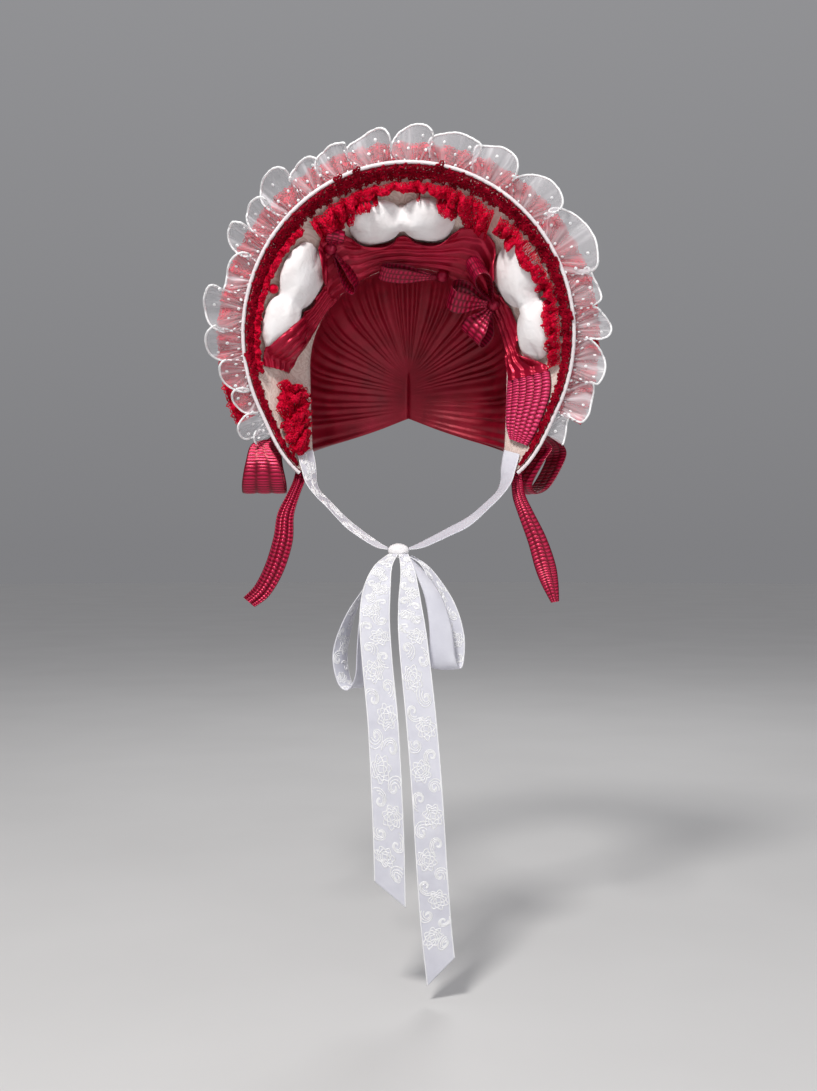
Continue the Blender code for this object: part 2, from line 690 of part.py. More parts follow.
def add_chin_tie():
    """The white ribbon that ties under the chin, as it hangs when worn."""
    mirrored = [row._replace(x=-row.x, heading=180 - row.heading) for row in STRAP_LEFT]
    strap_right = [row._replace(x=row.x + 2 * TIE_KNOT_CENTRE[0] * ease(2 * i / (len(mirrored) - 1) - 1))
                   for i, row in enumerate(mirrored)]
    ribbon("tie_strap_left", STRAP_LEFT, 16, 1, TIE_WALL, white_jacquard)
    ribbon("tie_strap_right", strap_right, 16, 1, TIE_WALL, white_jacquard)
    add_knot("tie_knot", TIE_KNOT_CENTRE, TIE_KNOT_RADII, white_jacquard)
    ribbon("tie_loop_left", TIE_LOOP_LEFT, 24, 1, TIE_WALL, white_jacquard)
    ribbon("tie_loop_right", TIE_LOOP_RIGHT, 24, 1, TIE_WALL, white_jacquard)
    ribbon("tie_tail_left", TIE_TAIL_LEFT, 18, 1, TIE_WALL, white_jacquard, cut=TAIL_SLANT_LEFT)
    ribbon("tie_tail_right", TIE_TAIL_RIGHT, 18, 1, TIE_WALL, white_jacquard, cut=TAIL_SLANT_RIGHT)


def make_scene():
    for old in list(bpy.data.objects):
        bpy.data.objects.remove(old)
    collection = bpy.data.collections.new("lolita_bonnet")
    bpy.context.scene.collection.children.link(collection)
    return collection


bonnet = make_scene()
wine_satin = material("wine_satin", (0.28, 0.008, 0.030), 0.35)
cream_brocade = material("cream_brocade", (0.80, 0.72, 0.68), 0.55)
white_cord = material("white_cord", (0.90, 0.86, 0.86), 0.45)
organza = material("organza", (0.92, 0.92, 0.95), 0.40, alpha=0.45)
red_lace = material("red_lace", (0.55, 0.010, 0.025), 0.50)
wine_lace = material("wine_lace", (0.35, 0.008, 0.018), 0.55)
white_puff = material("white_puff", (0.86, 0.80, 0.78), 0.60)
ladder_satin = material("ladder_satin", (0.45, 0.012, 0.060), 0.35)
white_jacquard = material("white_jacquard", (0.86, 0.86, 0.90), 0.35)

add_brim()
add_piping()
add_crown()
add_organza_frill()
add_outer_lace_frill()
add_rim_lace()
add_lining_trim()
add_side_ribbons()
add_chin_tie()
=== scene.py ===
"""The looks of a lolita bonnet: sheer dotted organza, red lace, padded puffs, wine satin and a white tie.

Everything is in metres in the row frame: +Z up, and the wearer faces -Y.
Cloth is laid by functions place(s, q), where s runs along the piece and q across it, both from 0 to 1.
"""

import math
from collections import namedtuple

import bmesh
import bpy
import numpy as np
from numpy import arange, clip, cos, linspace, maximum, minimum, pi, sin
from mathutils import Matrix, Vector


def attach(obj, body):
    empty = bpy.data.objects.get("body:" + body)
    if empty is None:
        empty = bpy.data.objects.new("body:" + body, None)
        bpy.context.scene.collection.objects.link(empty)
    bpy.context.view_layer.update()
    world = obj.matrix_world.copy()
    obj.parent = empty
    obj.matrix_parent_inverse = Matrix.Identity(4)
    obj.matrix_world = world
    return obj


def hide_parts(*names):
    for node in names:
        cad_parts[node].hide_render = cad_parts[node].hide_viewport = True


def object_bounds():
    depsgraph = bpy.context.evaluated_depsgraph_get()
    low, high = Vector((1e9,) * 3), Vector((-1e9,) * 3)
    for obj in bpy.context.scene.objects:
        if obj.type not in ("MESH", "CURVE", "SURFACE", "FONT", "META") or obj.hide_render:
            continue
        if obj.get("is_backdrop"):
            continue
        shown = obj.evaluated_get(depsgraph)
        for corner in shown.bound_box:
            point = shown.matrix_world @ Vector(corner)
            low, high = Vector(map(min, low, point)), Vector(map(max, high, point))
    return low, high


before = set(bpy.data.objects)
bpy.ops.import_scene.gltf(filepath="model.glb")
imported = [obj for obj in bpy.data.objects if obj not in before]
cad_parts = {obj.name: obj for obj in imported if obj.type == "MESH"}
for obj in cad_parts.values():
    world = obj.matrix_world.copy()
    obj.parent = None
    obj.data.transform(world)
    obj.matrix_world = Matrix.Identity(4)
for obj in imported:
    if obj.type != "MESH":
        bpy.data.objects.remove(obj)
cad_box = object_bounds()

TURN = 2 * pi

# Brim: its rim is an arc in a plane that leans forward, and its seam is an arch with straight legs
RIM_RADIUS = 0.1635
RIM_CENTRE_Z = -0.083
RIM_FORWARD = 0.060
RIM_LEAN = 0.038
RIM_TURN = math.radians(140)
CORNER_FLARE = 0.008
CORNER_START = 0.82
SEAM_RADIUS = 0.103
SEAM_LEG = 0.092
SEAM_LEG_TAPER = 0.003
SEAM_FORWARD = 0.012

# Layers of the brim, measured from the face between shell and lining, positive towards the face
SHELL_WALL = 0.0016
LINING_WALL = 0.0010
LINING_FACE = 0.0014
SEAT = 0.0006
ON_FACE = LINING_FACE + SEAT
CORD_RADIUS = 0.0019

# Crown
CROWN_GAP = 0.0015
CROWN_GATHERS = 46
GATHER_DEPTH = 0.0021

# Organza frill
ORGANZA_SEAM = 0.955
FLUTE_SWING = 0.011
FLUTE_DIP = 0.015
FLUTE_PINCH = 1.15
HEM_RADIUS = 0.0011
DOT_RADIUS = 0.0018
DOT_SPACING = 0.019

# Lace
OUTER_LACE_SEAM = 0.88
OUTER_LACE_END = 0.82
OUTER_LACE_REACH = 0.034
OUTER_LACE_FOLDS = 34
OUTER_LACE_SWING = 0.0045
RIM_LACE_INNER = 0.900
RIM_LACE_OUTER = 0.984
LACE_CELL = 0.0015
VEILED_CELL = 0.0022
LACE_WALL = 0.0005
THREAD = 0.00055

# Ribbons and drapes
CLOTH_WALL = 0.0005
TIE_WALL = 0.0006
CROWN_WALL = 0.0010
TAIL_SLANT_LEFT = 0.025
TAIL_SLANT_RIGHT = -0.027
TIE_KNOT_CENTRE = (-0.0100, -0.0760, -0.2950)
TIE_KNOT_RADII = (0.0105, 0.0080, 0.0075)
PUFF_HEIGHT = 0.019
PUFF_FILL = 1.14
PUFF_RISE = 1.15
BAR_PITCH = 0.0034
PANEL_LENGTH = 0.075
RIBBON_LENGTH = 0.17
WEAVE_LIFT = 0.0003
WEAVE_THREAD = 0.00062
WEAVE_EDGE = 0.0012
PILLOW_SLACK = 0.0085
PILLOW_CELL = 0.0014
PILLOW_CAP = 0.013
PILLOW_FRAMES = 22
PILLOW_CLOTH = {
    "quality": 6,
    "mass": 0.15,
    "tension_stiffness": 12,
    "compression_stiffness": 4,
    "shear_stiffness": 3,
    "bending_stiffness": 0.02,
    "shrink_min": -0.05,
    "use_pressure": True,
    "uniform_pressure_force": 7,
}
SIM_SCALE = 10
DIFFERENCE = 0.00015
FLOOR_RADIUS = 14.0
FLOOR_DROP = 0.015
SMALLEST_FLAT = 0.010
SMALLEST_SHARE = 0.31
NET_SHARE = 0.62

Flute = namedtuple("Flute", "angle reach")
Arch = namedtuple("Arch", "back half top shoulder foot")
Section = namedtuple("Section", "x y z width heading tilt", defaults=(0, 0))
Puff = namedtuple("Puff", "name t v turn spread length first second")
Band = namedtuple("Band", "t low high")
Loop = namedtuple("Loop", "name t v h turn climb roll length width rise")
Knot = namedtuple("Knot", "name t v lift")


def table(kind, scale, rows):
    return [kind(*(value / scale for value in row)) for row in rows]


def arches_of(*rows):
    """Arches across the crown, in millimetres."""
    return table(Arch, 1000, rows)


def bands_of(*rows):
    """Bands on the brim, in percent of its half length and of its width."""
    return table(Band, 100, rows)


def sections_of(*rows):
    """Sections of a ribbon, in millimetres and degrees."""
    return [Section(*(value / 1000 for value in row[:4]), *row[4:]) for row in rows]


# Where the flutes of the organza meet, in degrees from the top, and how far they reach in millimetres

FLUTES = [
    Flute(angle, reach / 1000)
    for angle, reach in [
        (-124, 20), (-119, 31), (-109, 24), (-101, 29), (-92, 39), (-80, 43), (-69, 28), (-59, 42),
        (-51, 38), (-43, 44), (-33, 34), (-23, 34), (-10, 36), (1, 38), (13, 36), (27, 39),
        (43, 41), (60, 43), (76, 32), (87, 39), (98, 36), (112, 33), (124, 22),
    ]
]

CROWN_ARCHES = arches_of(
    (0, 103, 0, -103, -195),
    (30, 106, 3, -103, -192),
    (62, 103, -5, -103, -187),
    (90, 88, -25, -105, -179),
    (107, 60, -49, -108, -169),
    (116, 30, -74, -112, -158),
    (118, 0, -94, -118, -146),
)

# Padded puffs of two lobes: middle, turn in degrees, lobe spacing and half length, the two half widths
PUFFS = [
    Puff("puff_left", -0.485, 0.565, 0, 0.028, 0.034, 0.0255, 0.0245),
    Puff("puff_top", -0.022, 0.560, 0, 0.0265, 0.0305, 0.0235, 0.0235),
    Puff("puff_right", 0.487, 0.572, -3, 0.0295, 0.0330, 0.0255, 0.0230),
]

# Ruffles on the lining: their two edges at places along the brim
LACE_TOP = bands_of(
    (-28.5, 64, 84),
    (-21, 65, 85),
    (-13, 78, 86),
    (-2, 82, 87),
    (7, 80, 87),
    (15, 66, 86),
    (24.5, 58, 83),
)
LACE_LEFT = bands_of(
    (-72, 82.5, 88),
    (-64, 83.5, 88.5),
    (-54, 84, 88.5),
    (-40, 84, 88.5),
    (-31.5, 82, 87),
)
LACE_RIGHT = bands_of(
    (26.5, 68, 84),
    (36, 82, 86.5),
    (48, 82, 86.5),
    (58, 80, 86.5),
    (70, 74, 86),
)
LACE_CHEEK = bands_of(
    (-96.5, 36, 82),
    (-92, 20, 80),
    (-86, 14, 74),
    (-79, 12, 62),
    (-74.5, 20, 50),
)

SWAG_TOP = bands_of(
    (-35.5, 3, 46),
    (-31, 3, 60),
    (-24, 3, 60),
    (-16, 3, 44),
    (-3, 3, 37),
    (10, 3, 40),
    (19, 3, 58),
    (26, 3, 62),
    (35.5, 3, 46),
)
SWAG_LEFT = bands_of(
    (-35.2, 3, 26),
    (-46, 4, 34),
    (-56, 10, 58),
    (-64, 25, 77),
    (-70, 38, 77),
)
SWAG_RIGHT = bands_of(
    (36, 3, 34),
    (45, 3, 27),
    (52, 3, 28),
    (58, 3, 30),
    (63.5, 3, 36),
    (69, 5, 66),
    (71.2, 4, 70),
)
LADDER = bands_of(
    (71, 4, 72),
    (76, 3, 80),
    (82, 3, 84.5),
    (89, 6, 84.5),
    (93, 20, 80),
)

# Ribbon loops on the brim: foot, turn along it, climb off it, roll, length, width and depth
BRIM_LOOPS = [
    Loop("bow_right_loop_upper", 0.404, 0.19, 0.0140, 143, 29, 40, 0.050, 0.030, 0.012),
    Loop("bow_right_loop_left", 0.404, 0.19, 0.0140, -148, 31, 15, 0.040, 0.030, 0.014),
    Loop("bow_right_loop_lower", 0.404, 0.19, 0.0140, -66, 18, -10, 0.036, 0.030, 0.013),
    Loop("bow_left_loop_upper", -0.268, 0.52, 0.008, 50, 20, 20, 0.018, 0.018, 0.008),
    Loop("bow_left_loop_lower", -0.268, 0.52, 0.009, -98, 27, 66, 0.042, 0.024, 0.007),
    Loop("brim_loop_top", 0.15, 0.04, 0.0110, 180, 24, 0, 0.060, 0.018, 0.007),
]
KNOT_RADIUS = 0.0065
BOW_KNOTS = [
    Knot("bow_right_knot", 0.404, 0.19, 0.0050),
    Knot("bow_left_knot", -0.268, 0.52, 0),
    Knot("brim_knot_top", 0.15, 0.05, 0.0018),
]
LACE_KNOT = (-0.485, 0.778)
LACE_KNOT_RADIUS = 0.0050

# Ribbons: middle, width, heading and tilt
TIE_WIDTH = 29.5
SIDE_LOOP_LEFT = sections_of(
    (-129.7, -30.6, -179, 14, 38, 15),
    (-150, -34, -186, 18),
    (-148, -42, -205, 34),
    (-147.5, -40, -226, 43),
    (-147.5, -26, -236, 45),
    (-147.5, -12, -225, 42),
    (-148, -6, -205, 34),
    (-143, -12, -187, 22, 20),
    (-136.5, -21.5, -178, 14, 38, 10),
)
SIDE_LOOP_RIGHT = sections_of(
    (129.7, -30.7, -179, 14, -38, -15),
    (138.5, -24, -190, 26, -50),
    (128.5, -21, -206, 34, -60),
    (117.5, -20, -228, 34, -60),
    (123, -18, -236.5, 34, -60),
    (135, -13, -231, 34, -60),
    (147, -9, -213, 34, -60),
    (154, -8, -195, 30, -55),
    (149, -13, -183, 20, -45),
    (139.5, -20, -178, 14, -38),
)
SIDE_TAIL_LEFT = sections_of(
    (-110.2, -21.9, -208, 12, 38, 15),
    (-112.5, -26, -224, 12, 10),
    (-118, -30, -239, 13, 0, -6),
    (-125, -36, -259, 17, 0, -6),
    (-127, -43, -284, 20, 0, -14),
    (-135, -48, -312, 20, 0, -28),
    (-147, -52, -335, 18, 0, -38),
    (-160, -55, -347, 15, 0, -40),
)
SIDE_TAIL_RIGHT = sections_of(
    (110.5, -21.5, -208, 12, -38, -15),
    (111.5, -26.5, -226, 12, -10),
    (113, -31, -240, 13, 0, 20),
    (119, -34, -256, 15, 0, 22),
    (130.6, -38, -284, 19, 0, 20),
    (138.4, -42, -310, 21, 0, 16),
    (143, -46, -328, 17, 0, 14),
    (148, -48, -347, 8, 0, 12),
)
STRAP_LEFT = sections_of(
    (-106.2, -23.5, -194, 20, 38, 15),
    (-102, -28.2, -211, 22, 52, 12),
    (-99, -33.5, -225, 26, 70, 10),
    (-92, -39.5, -237, 28, 85, 14),
    (-81, -46, -248, 28, 90, 18),
    (-64.1, -55, -265.4, 28, 90, 20),
    (-51.1, -60, -275.9, 28, 90, 18),
    (-31.9, -66, -288.5, 26, 90, 14),
    (-20.5, -73.5, -293, 13, 90, 8),
)
TIE_LOOP_LEFT = sections_of(
    (-19.2, -78.3, -300, 9, 66),
    (-36, -84, -321, 18, 72, 20),
    (-56, -90, -356, 26, 66, 10),
    (-66, -96, -392, 28, 64),
    (-63, -100, -420, 28, 64),
    (-53, -102, -429, 28, 64),
    (-45, -100, -415, 28, 64),
    (-44, -94, -385, 26, 64),
    (-40, -86, -350, 22, 66),
    (-28, -78, -320, 14, 66),
    (-16, -74.2, -302.6, 8, 66),
)
TIE_LOOP_RIGHT = sections_of(
    (0.8, -73.7, -299.8, 10, 60),
    (18, -76, -312, 16, 40, -20),
    (34, -82, -340, 23, 22, -18),
    (42, -86, -375, 26, 12, -6),
    (41, -90, -402, 27, 6),
    (37, -96, -409.5, 27, 4),
    (33, -101, -400, 26, 4),
    (31, -99, -370, 22, 8),
    (24, -93, -340, 17, 16),
    (11, -85, -316, 12, 40),
    (-1.2, -78.5, -301.5, 8, 60),
)
TIE_TAIL_LEFT = sections_of(
    (-15, -83.8, -298.5, 9),
    (-25, -98, -311, 18),
    (-30.7, -106, -333.4, 27),
    (-32.5, -113, -362.2, TIE_WIDTH),
    (-29.9, -120, -400.3, TIE_WIDTH),
    (-24.3, -130, -456.3, TIE_WIDTH),
    (-20.5, -139, -521, TIE_WIDTH),
    (-18.3, -142, -575.8, TIE_WIDTH),
    (-17.4, -143, -616.9, TIE_WIDTH),
)
TIE_TAIL_RIGHT = sections_of(
    (-5, -83.8, -298.5, 9),
    (-0.5, -97, -316, 14),
    (1.5, -105, -348.8, 23),
    (4.6, -113, -383.2, 28),
    (12.1, -128, -456.3, TIE_WIDTH),
    (17.4, -139, -521, TIE_WIDTH),
    (21.6, -143, -587.8, TIE_WIDTH),
    (25.7, -145, -645.1, TIE_WIDTH),
    (30.4, -146, -688.7, TIE_WIDTH),
)


def new_item(name, data):
    made = bpy.data.objects.new(name, data)
    bpy.context.scene.collection.objects.link(made)
    return made


def add_camera():
    """The photograph's view: straight from the front, level, a little below the origin."""
    camera = new_item("camera", bpy.data.cameras.new("camera"))
    camera.data.lens = 36 * 1320 / 1091
    camera.location = (0, -1.380, -0.290)
    camera.rotation_euler = (pi / 2, 0, 0)
    bpy.context.scene.camera = camera


# Shapes that pieces share


def ease(value):
    """Goes smoothly from 0 to 1."""
    value = clip(value, 0.0, 1.0)
    return value * value * (3 - 2 * value)


def mix(a, b, share):
    return a + (b - a) * share


def points_of(x, y, z):
    return np.stack(np.broadcast_arrays(x, y, z), axis=-1).astype(float)


def unit(vectors):
    return vectors / maximum(np.linalg.norm(vectors, axis=-1, keepdims=True), 1e-12)


def between(rows, share):
    """The columns of a table at shares of the way through it, smoothed through its rows."""
    table = np.array([[value for value in row if not isinstance(value, str)] for row in rows], float)
    last = len(table) - 1
    place = clip(share, 0, 1) * last
    i = minimum(place.astype(int), last - 1)
    u = (place - i)[..., None]
    before, start, end, after = (table[clip(i + k, 0, last)] for k in (-1, 0, 1, 2))
    bend = 2 * before - 5 * start + 4 * end - after
    twist = 3 * start - before - 3 * end + after
    return start + 0.5 * u * (end - before + u * (bend + u * twist))


def waver(x, seed, octaves=3):
    """A smooth, repeatable wander from -1 to 1 along x, one turn or so for each unit."""
    phases = np.random.default_rng(seed).uniform(0, TURN, octaves)
    waves = [sin(TURN * x * (1 + 0.73 * k) + phases[k]) / (1 + k) for k in range(octaves)]
    return sum(waves) / sum(1 / (1 + k) for k in range(octaves))


def rim_point(t):
    """A point on the rim: t runs from -1 at the left corner over the top to 1 at the right corner."""
    angle = RIM_TURN * t
    reach = RIM_RADIUS + CORNER_FLARE * ease((np.abs(t) - CORNER_START) / (1 - CORNER_START))
    forward = RIM_FORWARD + RIM_LEAN * cos(angle)
    return points_of(reach * sin(angle), -forward, RIM_CENTRE_Z + reach * cos(angle))


def seam_point(t):
    """A point on the seam of brim and crown, by the same t."""
    side = np.where(t < 0, -1.0, 1.0)
    quarter = SEAM_RADIUS * pi / 2
    along = np.abs(t) * (quarter + SEAM_LEG)
    angle = minimum(along, quarter) / SEAM_RADIUS
    down = maximum(along - quarter, 0)
    x = SEAM_RADIUS * sin(angle) - SEAM_LEG_TAPER * down / SEAM_LEG
    y = -SEAM_FORWARD * ease(2 * np.abs(t) - 1)
    return points_of(side * x, y, SEAM_RADIUS * (cos(angle) - 1) - down)


def brim_flat(t, v):
    """A point on the face between shell and lining: v runs from 0 at the seam to 1 at the rim."""
    t, v = np.broadcast_arrays(np.asarray(t, float), np.asarray(v, float))
    seam = seam_point(t)
    return seam + (rim_point(t) - seam) * v[..., None]


def brim_normal(t, v):
    """The direction off the brim towards the wearer's face."""
    step = 0.002
    t = clip(t, -1 + step, 1 - step)
    along = brim_flat(t + step, v) - brim_flat(t - step, v)
    across = brim_flat(t, v + step) - brim_flat(t, v - step)
    return unit(np.cross(along, across))


def brim_point(t, v, h=0.0):
    """A point h off the brim."""
    return brim_flat(t, v) + brim_normal(t, v) * np.asarray(h, float)[..., None]


def brim_scale(t, v):
    """Metres for one unit of t and of v, at a place on the brim."""
    along = np.linalg.norm(brim_flat(t + 0.05, v) - brim_flat(t - 0.05, v)) / 0.1
    return along, np.linalg.norm(brim_flat(t, 1) - brim_flat(t, 0))


# Cloth, lace and thread


def grid(columns, rows):
    """s and q at the points of a grid."""
    return np.meshgrid(linspace(0, 1, columns + 1), linspace(0, 1, rows + 1), indexing="ij")


def around(sides):
    return linspace(0, TURN, sides, endpoint=False)


def grid_faces(columns, rows):
    """Quads of a grid whose points are numbered along q first."""
    step = rows + 1
    corner = (arange(columns)[:, None] * step + arange(rows)[None, :]).ravel()
    return np.stack([corner, corner + step, corner + step + 1, corner + 1], axis=1)


def ring_grid(rings, sides, ends):
    """The angles of a round form: down it from pole to pole, and round it."""
    down = linspace(ends, pi - ends, rings)
    return np.meshgrid(down, around(sides), indexing="ij")


def ring_faces(rings, sides, closed=False):
    """Quads between rings of points. Where they are closed, the last ring joins the first."""
    i, k = np.meshgrid(arange(rings if closed else rings - 1), arange(sides), indexing="ij")
    j, m = (i + 1) % rings, (k + 1) % sides
    corners = [i * sides + k, j * sides + k, j * sides + m, i * sides + m]
    return np.stack(corners, axis=-1).reshape(-1, 4)


def mesh_points(mesh):
    points = np.empty(len(mesh.vertices) * 3)
    mesh.vertices.foreach_get("co", points)
    return points.reshape(-1, 3)


def new_object(name, points, faces):
    mesh = bpy.data.meshes.new(name)
    mesh.from_pydata(np.asarray(points).reshape(-1, 3).tolist(), [], [list(face) for face in faces])
    return new_item(name, mesh)


def add_mesh(name, points, faces, finish, node=None):
    """A smooth mesh in the row frame, which rides on the bonnet and may stand for a CAD node."""
    made = new_object(name, points, faces)
    made.data.materials.append(finish)
    made.data.shade_smooth()
    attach(made, "root")
    if node:
        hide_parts(node)
    return made


def lengths(points):
    """The mean length and width of a grid of points."""
    long = np.linalg.norm(np.diff(points, axis=0), axis=-1).sum(axis=0).mean()
    wide = np.linalg.norm(np.diff(points, axis=1), axis=-1).sum(axis=1).mean()
    return float(long), float(wide)


def add_wall(made, wall):
    solidify = made.modifiers.new("wall", "SOLIDIFY")
    solidify.thickness = wall
    solidify.offset = 0


def cloth(node, place, cells, finish, wall=CLOTH_WALL, keep=None, bars=None):
    """A sheet of cloth in place of a CAD node, of cells along and across it. keep(i, j) chooses the cells
    that stay, and bars(s, q) gives the height of the ladders in its weave, which is stored so that the
    material can paint shade between the bars and a highlight on them."""
    s, q = grid(*cells)
    points = place(s, q)
    long, wide = lengths(points)
    faces = grid_faces(*cells)
    if keep is not None:
        faces = faces[keep(*np.divmod(arange(len(faces)), cells[1]))]
    made = add_mesh(node + "_cloth", points, faces, finish, node)
    flat = np.stack([s * long, q * wide], axis=-1).reshape(-1, 2)
    layer = made.data.uv_layers.new(name="cloth")
    corners = np.empty(len(made.data.loops), int)
    made.data.loops.foreach_get("vertex_index", corners)
    layer.data.foreach_set("uv", flat[corners].astype(np.float32).ravel())
    # bar heights kept for the material's painted shade between the bars and painted highlight on them
    if bars is not None:
        heights = made.data.attributes.new("bars", "FLOAT", "POINT")
        heights.data.foreach_set("value", bars(s, q).astype(np.float32).ravel())
    if wall:
        add_wall(made, wall)
    size = (long, max(wide, SMALLEST_FLAT))
    area = long * wide * (NET_SHARE if keep is not None else 1)
    area = max(area, SMALLEST_SHARE * size[0] * size[1])
    return made


class Lay:
    """A piece's surface, read in metres along and across its cloth."""

    def __init__(self, place, columns=200, rows=8):
        self.place = place
        self.long, self.wide = lengths(place(*grid(columns, rows)))

    def at(self, x, y, lift=0.0):
        """Points at x along and y across, lifted off the cloth, and the directions off it."""
        s, q = np.broadcast_arrays(np.asarray(x, float) / self.long, np.asarray(y, float) / self.wide)
        ds, dq = DIFFERENCE / self.long, DIFFERENCE / self.wide
        along = self.place(s + ds, q) - self.place(s - ds, q)
        across = self.place(s, q + dq) - self.place(s, q - dq)
        normal = unit(np.cross(along, across))
        return self.place(s, q) + normal * np.asarray(lift, float)[..., None], normal


class Thread:
    """Collects tubes and small domes in one mesh."""

    def __init__(self):
        self.points, self.faces, self.count = [], [], 0

    def add(self, points, faces):
        self.points.append(points.reshape(-1, 3))
        self.faces.append(faces + self.count)
        self.count += self.points[-1].shape[0]

    def tube(self, path, normal, radius, sides=6, closed=False, flatten=1.0):
        """A thread along a path, on a surface with that normal. flatten presses it down."""
        ahead = np.roll(path, -1, axis=0) - np.roll(path, 1, axis=0)
        if not closed:
            ahead[0], ahead[-1] = path[1] - path[0], path[-1] - path[-2]
        side = unit(np.cross(unit(ahead), normal))
        up = unit(np.cross(side, ahead))
        turn = around(sides)
        radius = np.broadcast_to(np.asarray(radius, float), path.shape[:1])[:, None, None]
        ring = cos(turn)[:, None] * side[:, None, :] + flatten * sin(turn)[:, None] * up[:, None, :]
        self.add(path[:, None, :] + ring * radius, ring_faces(len(path), sides, closed))

    def dot(self, centre, normal, radius, height):
        """A small lens-shaped dot, centred on the cloth."""
        first = unit(np.cross(normal, np.array([0.31, 0.52, 0.79])))
        second = np.cross(normal, first)
        sides, rings = 7, 5
        turn = around(sides)
        rise = linspace(-pi / 2 * 0.9, pi / 2 * 0.9, rings)
        out = radius * cos(rise)[:, None, None]
        ring = cos(turn)[None, :, None] * first + sin(turn)[None, :, None] * second
        points = centre + ring * out + normal * (height * sin(rise))[:, None, None]
        self.add(points, ring_faces(rings, sides))

    def mesh(self, name, finish, node=None):
        made = add_mesh(name, np.concatenate(self.points), np.concatenate(self.faces), finish, node)
        bm = bmesh.new()
        bm.from_mesh(made.data)
        bmesh.ops.recalc_face_normals(bm, faces=bm.faces)
        bm.to_mesh(made.data)
        bm.free()
        made.data.shade_smooth()
        return made


def flower(thread, lay, x, y, radius, petals, turn, rings=2, thick=1.0):
    """A guipure flower: a ring of petals, a smaller one on it and a knot at the middle."""
    for share, lift in ((1.0, 0.0010), (0.62, 0.0015))[:rings]:
        phase = around(6 * petals)
        reach = share * radius * (0.66 + 0.34 * cos(petals * phase))
        path, normal = lay.at(x + reach * cos(phase + turn), y + reach * sin(phase + turn), lift)
        thread.tube(path, normal, thick * THREAD * (0.9 + 0.4 * share), sides=3, closed=True)
    centre, normal = lay.at(x, y, 0.0012)
    thread.dot(centre, normal, 0.22 * radius, 0.0010)


def scallops(thread, lay, y, depth, pitch, lift=0.0004):
    """A looped thread along an edge of the lace. A negative depth loops the other way."""
    x = linspace(0, lay.long, max(8, round(lay.long / pitch) * 5))
    path, normal = lay.at(x, y + depth * np.abs(sin(pi * x / pitch)), lift)
    thread.tube(path, normal, THREAD, sides=3)


def lace(node, place, finish, flower_radius, rows_of_flowers, seed, held="gathered", strays=()):
    """Openwork lace: a net with small holes, flowers worked on it and looped threads at both edges."""
    lay = Lay(place)
    veiled = node == "outer_lace_frill"
    cell = VEILED_CELL if veiled else LACE_CELL
    columns, rows = round(lay.long / cell), max(4, round(lay.wide / cell))
    random = np.random.default_rng(seed)
    thread = Thread()
    spacing = 1.85 * flower_radius
    rings = 1 if veiled or held == "laid" else 2
    for k, share in enumerate(rows_of_flowers):
        for x in arange(spacing * (0.6 + 0.5 * (k % 2)), lay.long - 0.5 * spacing, spacing):
            size = flower_radius * random.uniform(0.85, 1.12)
            y = share * lay.wide + random.uniform(-0.08, 0.08) * flower_radius
            petals, turn = int(random.integers(5, 7)), random.uniform(0, 6.28)
            flower(thread, lay, x, y, size, petals, turn, rings, 1.5 if held == "laid" else 1.0)
    scallops(thread, lay, 0, -0.0016, 0.0042)
    scallops(thread, lay, lay.wide, 0.0016, 0.0042)
    for s, reach, size in strays:
        flower(thread, lay, s * lay.long, lay.wide + reach, size, 3, 6.28 * s, thick=1.4)
    worked = thread.mesh(node + "_flowers", finish)
    open_net = None if veiled else lambda i, j: (i % 2 == 0) | ((j + (i // 2) % 2) % 2 == 0)
    wall = 0 if veiled else LACE_WALL
    cloth(node, place, (columns, rows), finish, wall, open_net)


# Materials


def put(node, **values):
    """Sets a node's own inputs."""
    for name, value in values.items():
        node.inputs[name.replace("_", " ")].default_value = value


class Look:
    """The nodes of a material, or of the world, and its shader."""

    def __init__(self, tree, shader="Principled BSDF"):
        self.nodes, self.links, self.shader = tree.nodes, tree.links, tree.nodes[shader]

    def texture(self, kind, coordinates, stretch=None, out="Fac", **settings):
        """An output of a procedural texture in UV, Object or Generated coordinates, stretched by axis."""
        made = self.nodes.new("ShaderNode" + kind)
        source = self.nodes.new("ShaderNodeTexCoord").outputs[coordinates]
        if stretch is not None:
            mapping = self.nodes.new("ShaderNodeMapping")
            put(mapping, Scale=stretch)
            self.links.new(source, mapping.inputs["Vector"])
            source = mapping.outputs["Vector"]
        self.links.new(source, made.inputs["Vector"])
        put(made, **settings)
        return made.outputs[out]

    def ramp(self, source, stops, name):
        """Gives an input of the shader colours or greys at places along a texture."""
        made = self.nodes.new("ShaderNodeValToRGB")
        for _ in stops[2:]:
            made.color_ramp.elements.new(0.5)
        for element, (place, colour) in zip(made.color_ramp.elements, stops):
            element.position = place
            element.color = (*colour, 1.0) if isinstance(colour, tuple) else (colour, colour, colour, 1.0)
        self.links.new(source, made.inputs["Fac"])
        self.links.new(made.outputs["Color"], self.shader.inputs[name])

    def bump(self, *layers):
        """Stacks bumps: each layer is (height socket, strength, distance in metres)."""
        normal = None
        for socket, strength, distance in layers:
            made = self.nodes.new("ShaderNodeBump")
            put(made, Strength=strength, Distance=distance)
            self.links.new(socket, made.inputs["Height"])
            if normal:
                self.links.new(normal, made.inputs["Normal"])
            normal = made.outputs["Normal"]
        self.links.new(normal, self.shader.inputs["Normal"])


def new_material(name, slot):
    made = bpy.data.materials.new(name)
    made.use_nodes = True
    made["slot"] = slot
    return made, Look(made.node_tree)


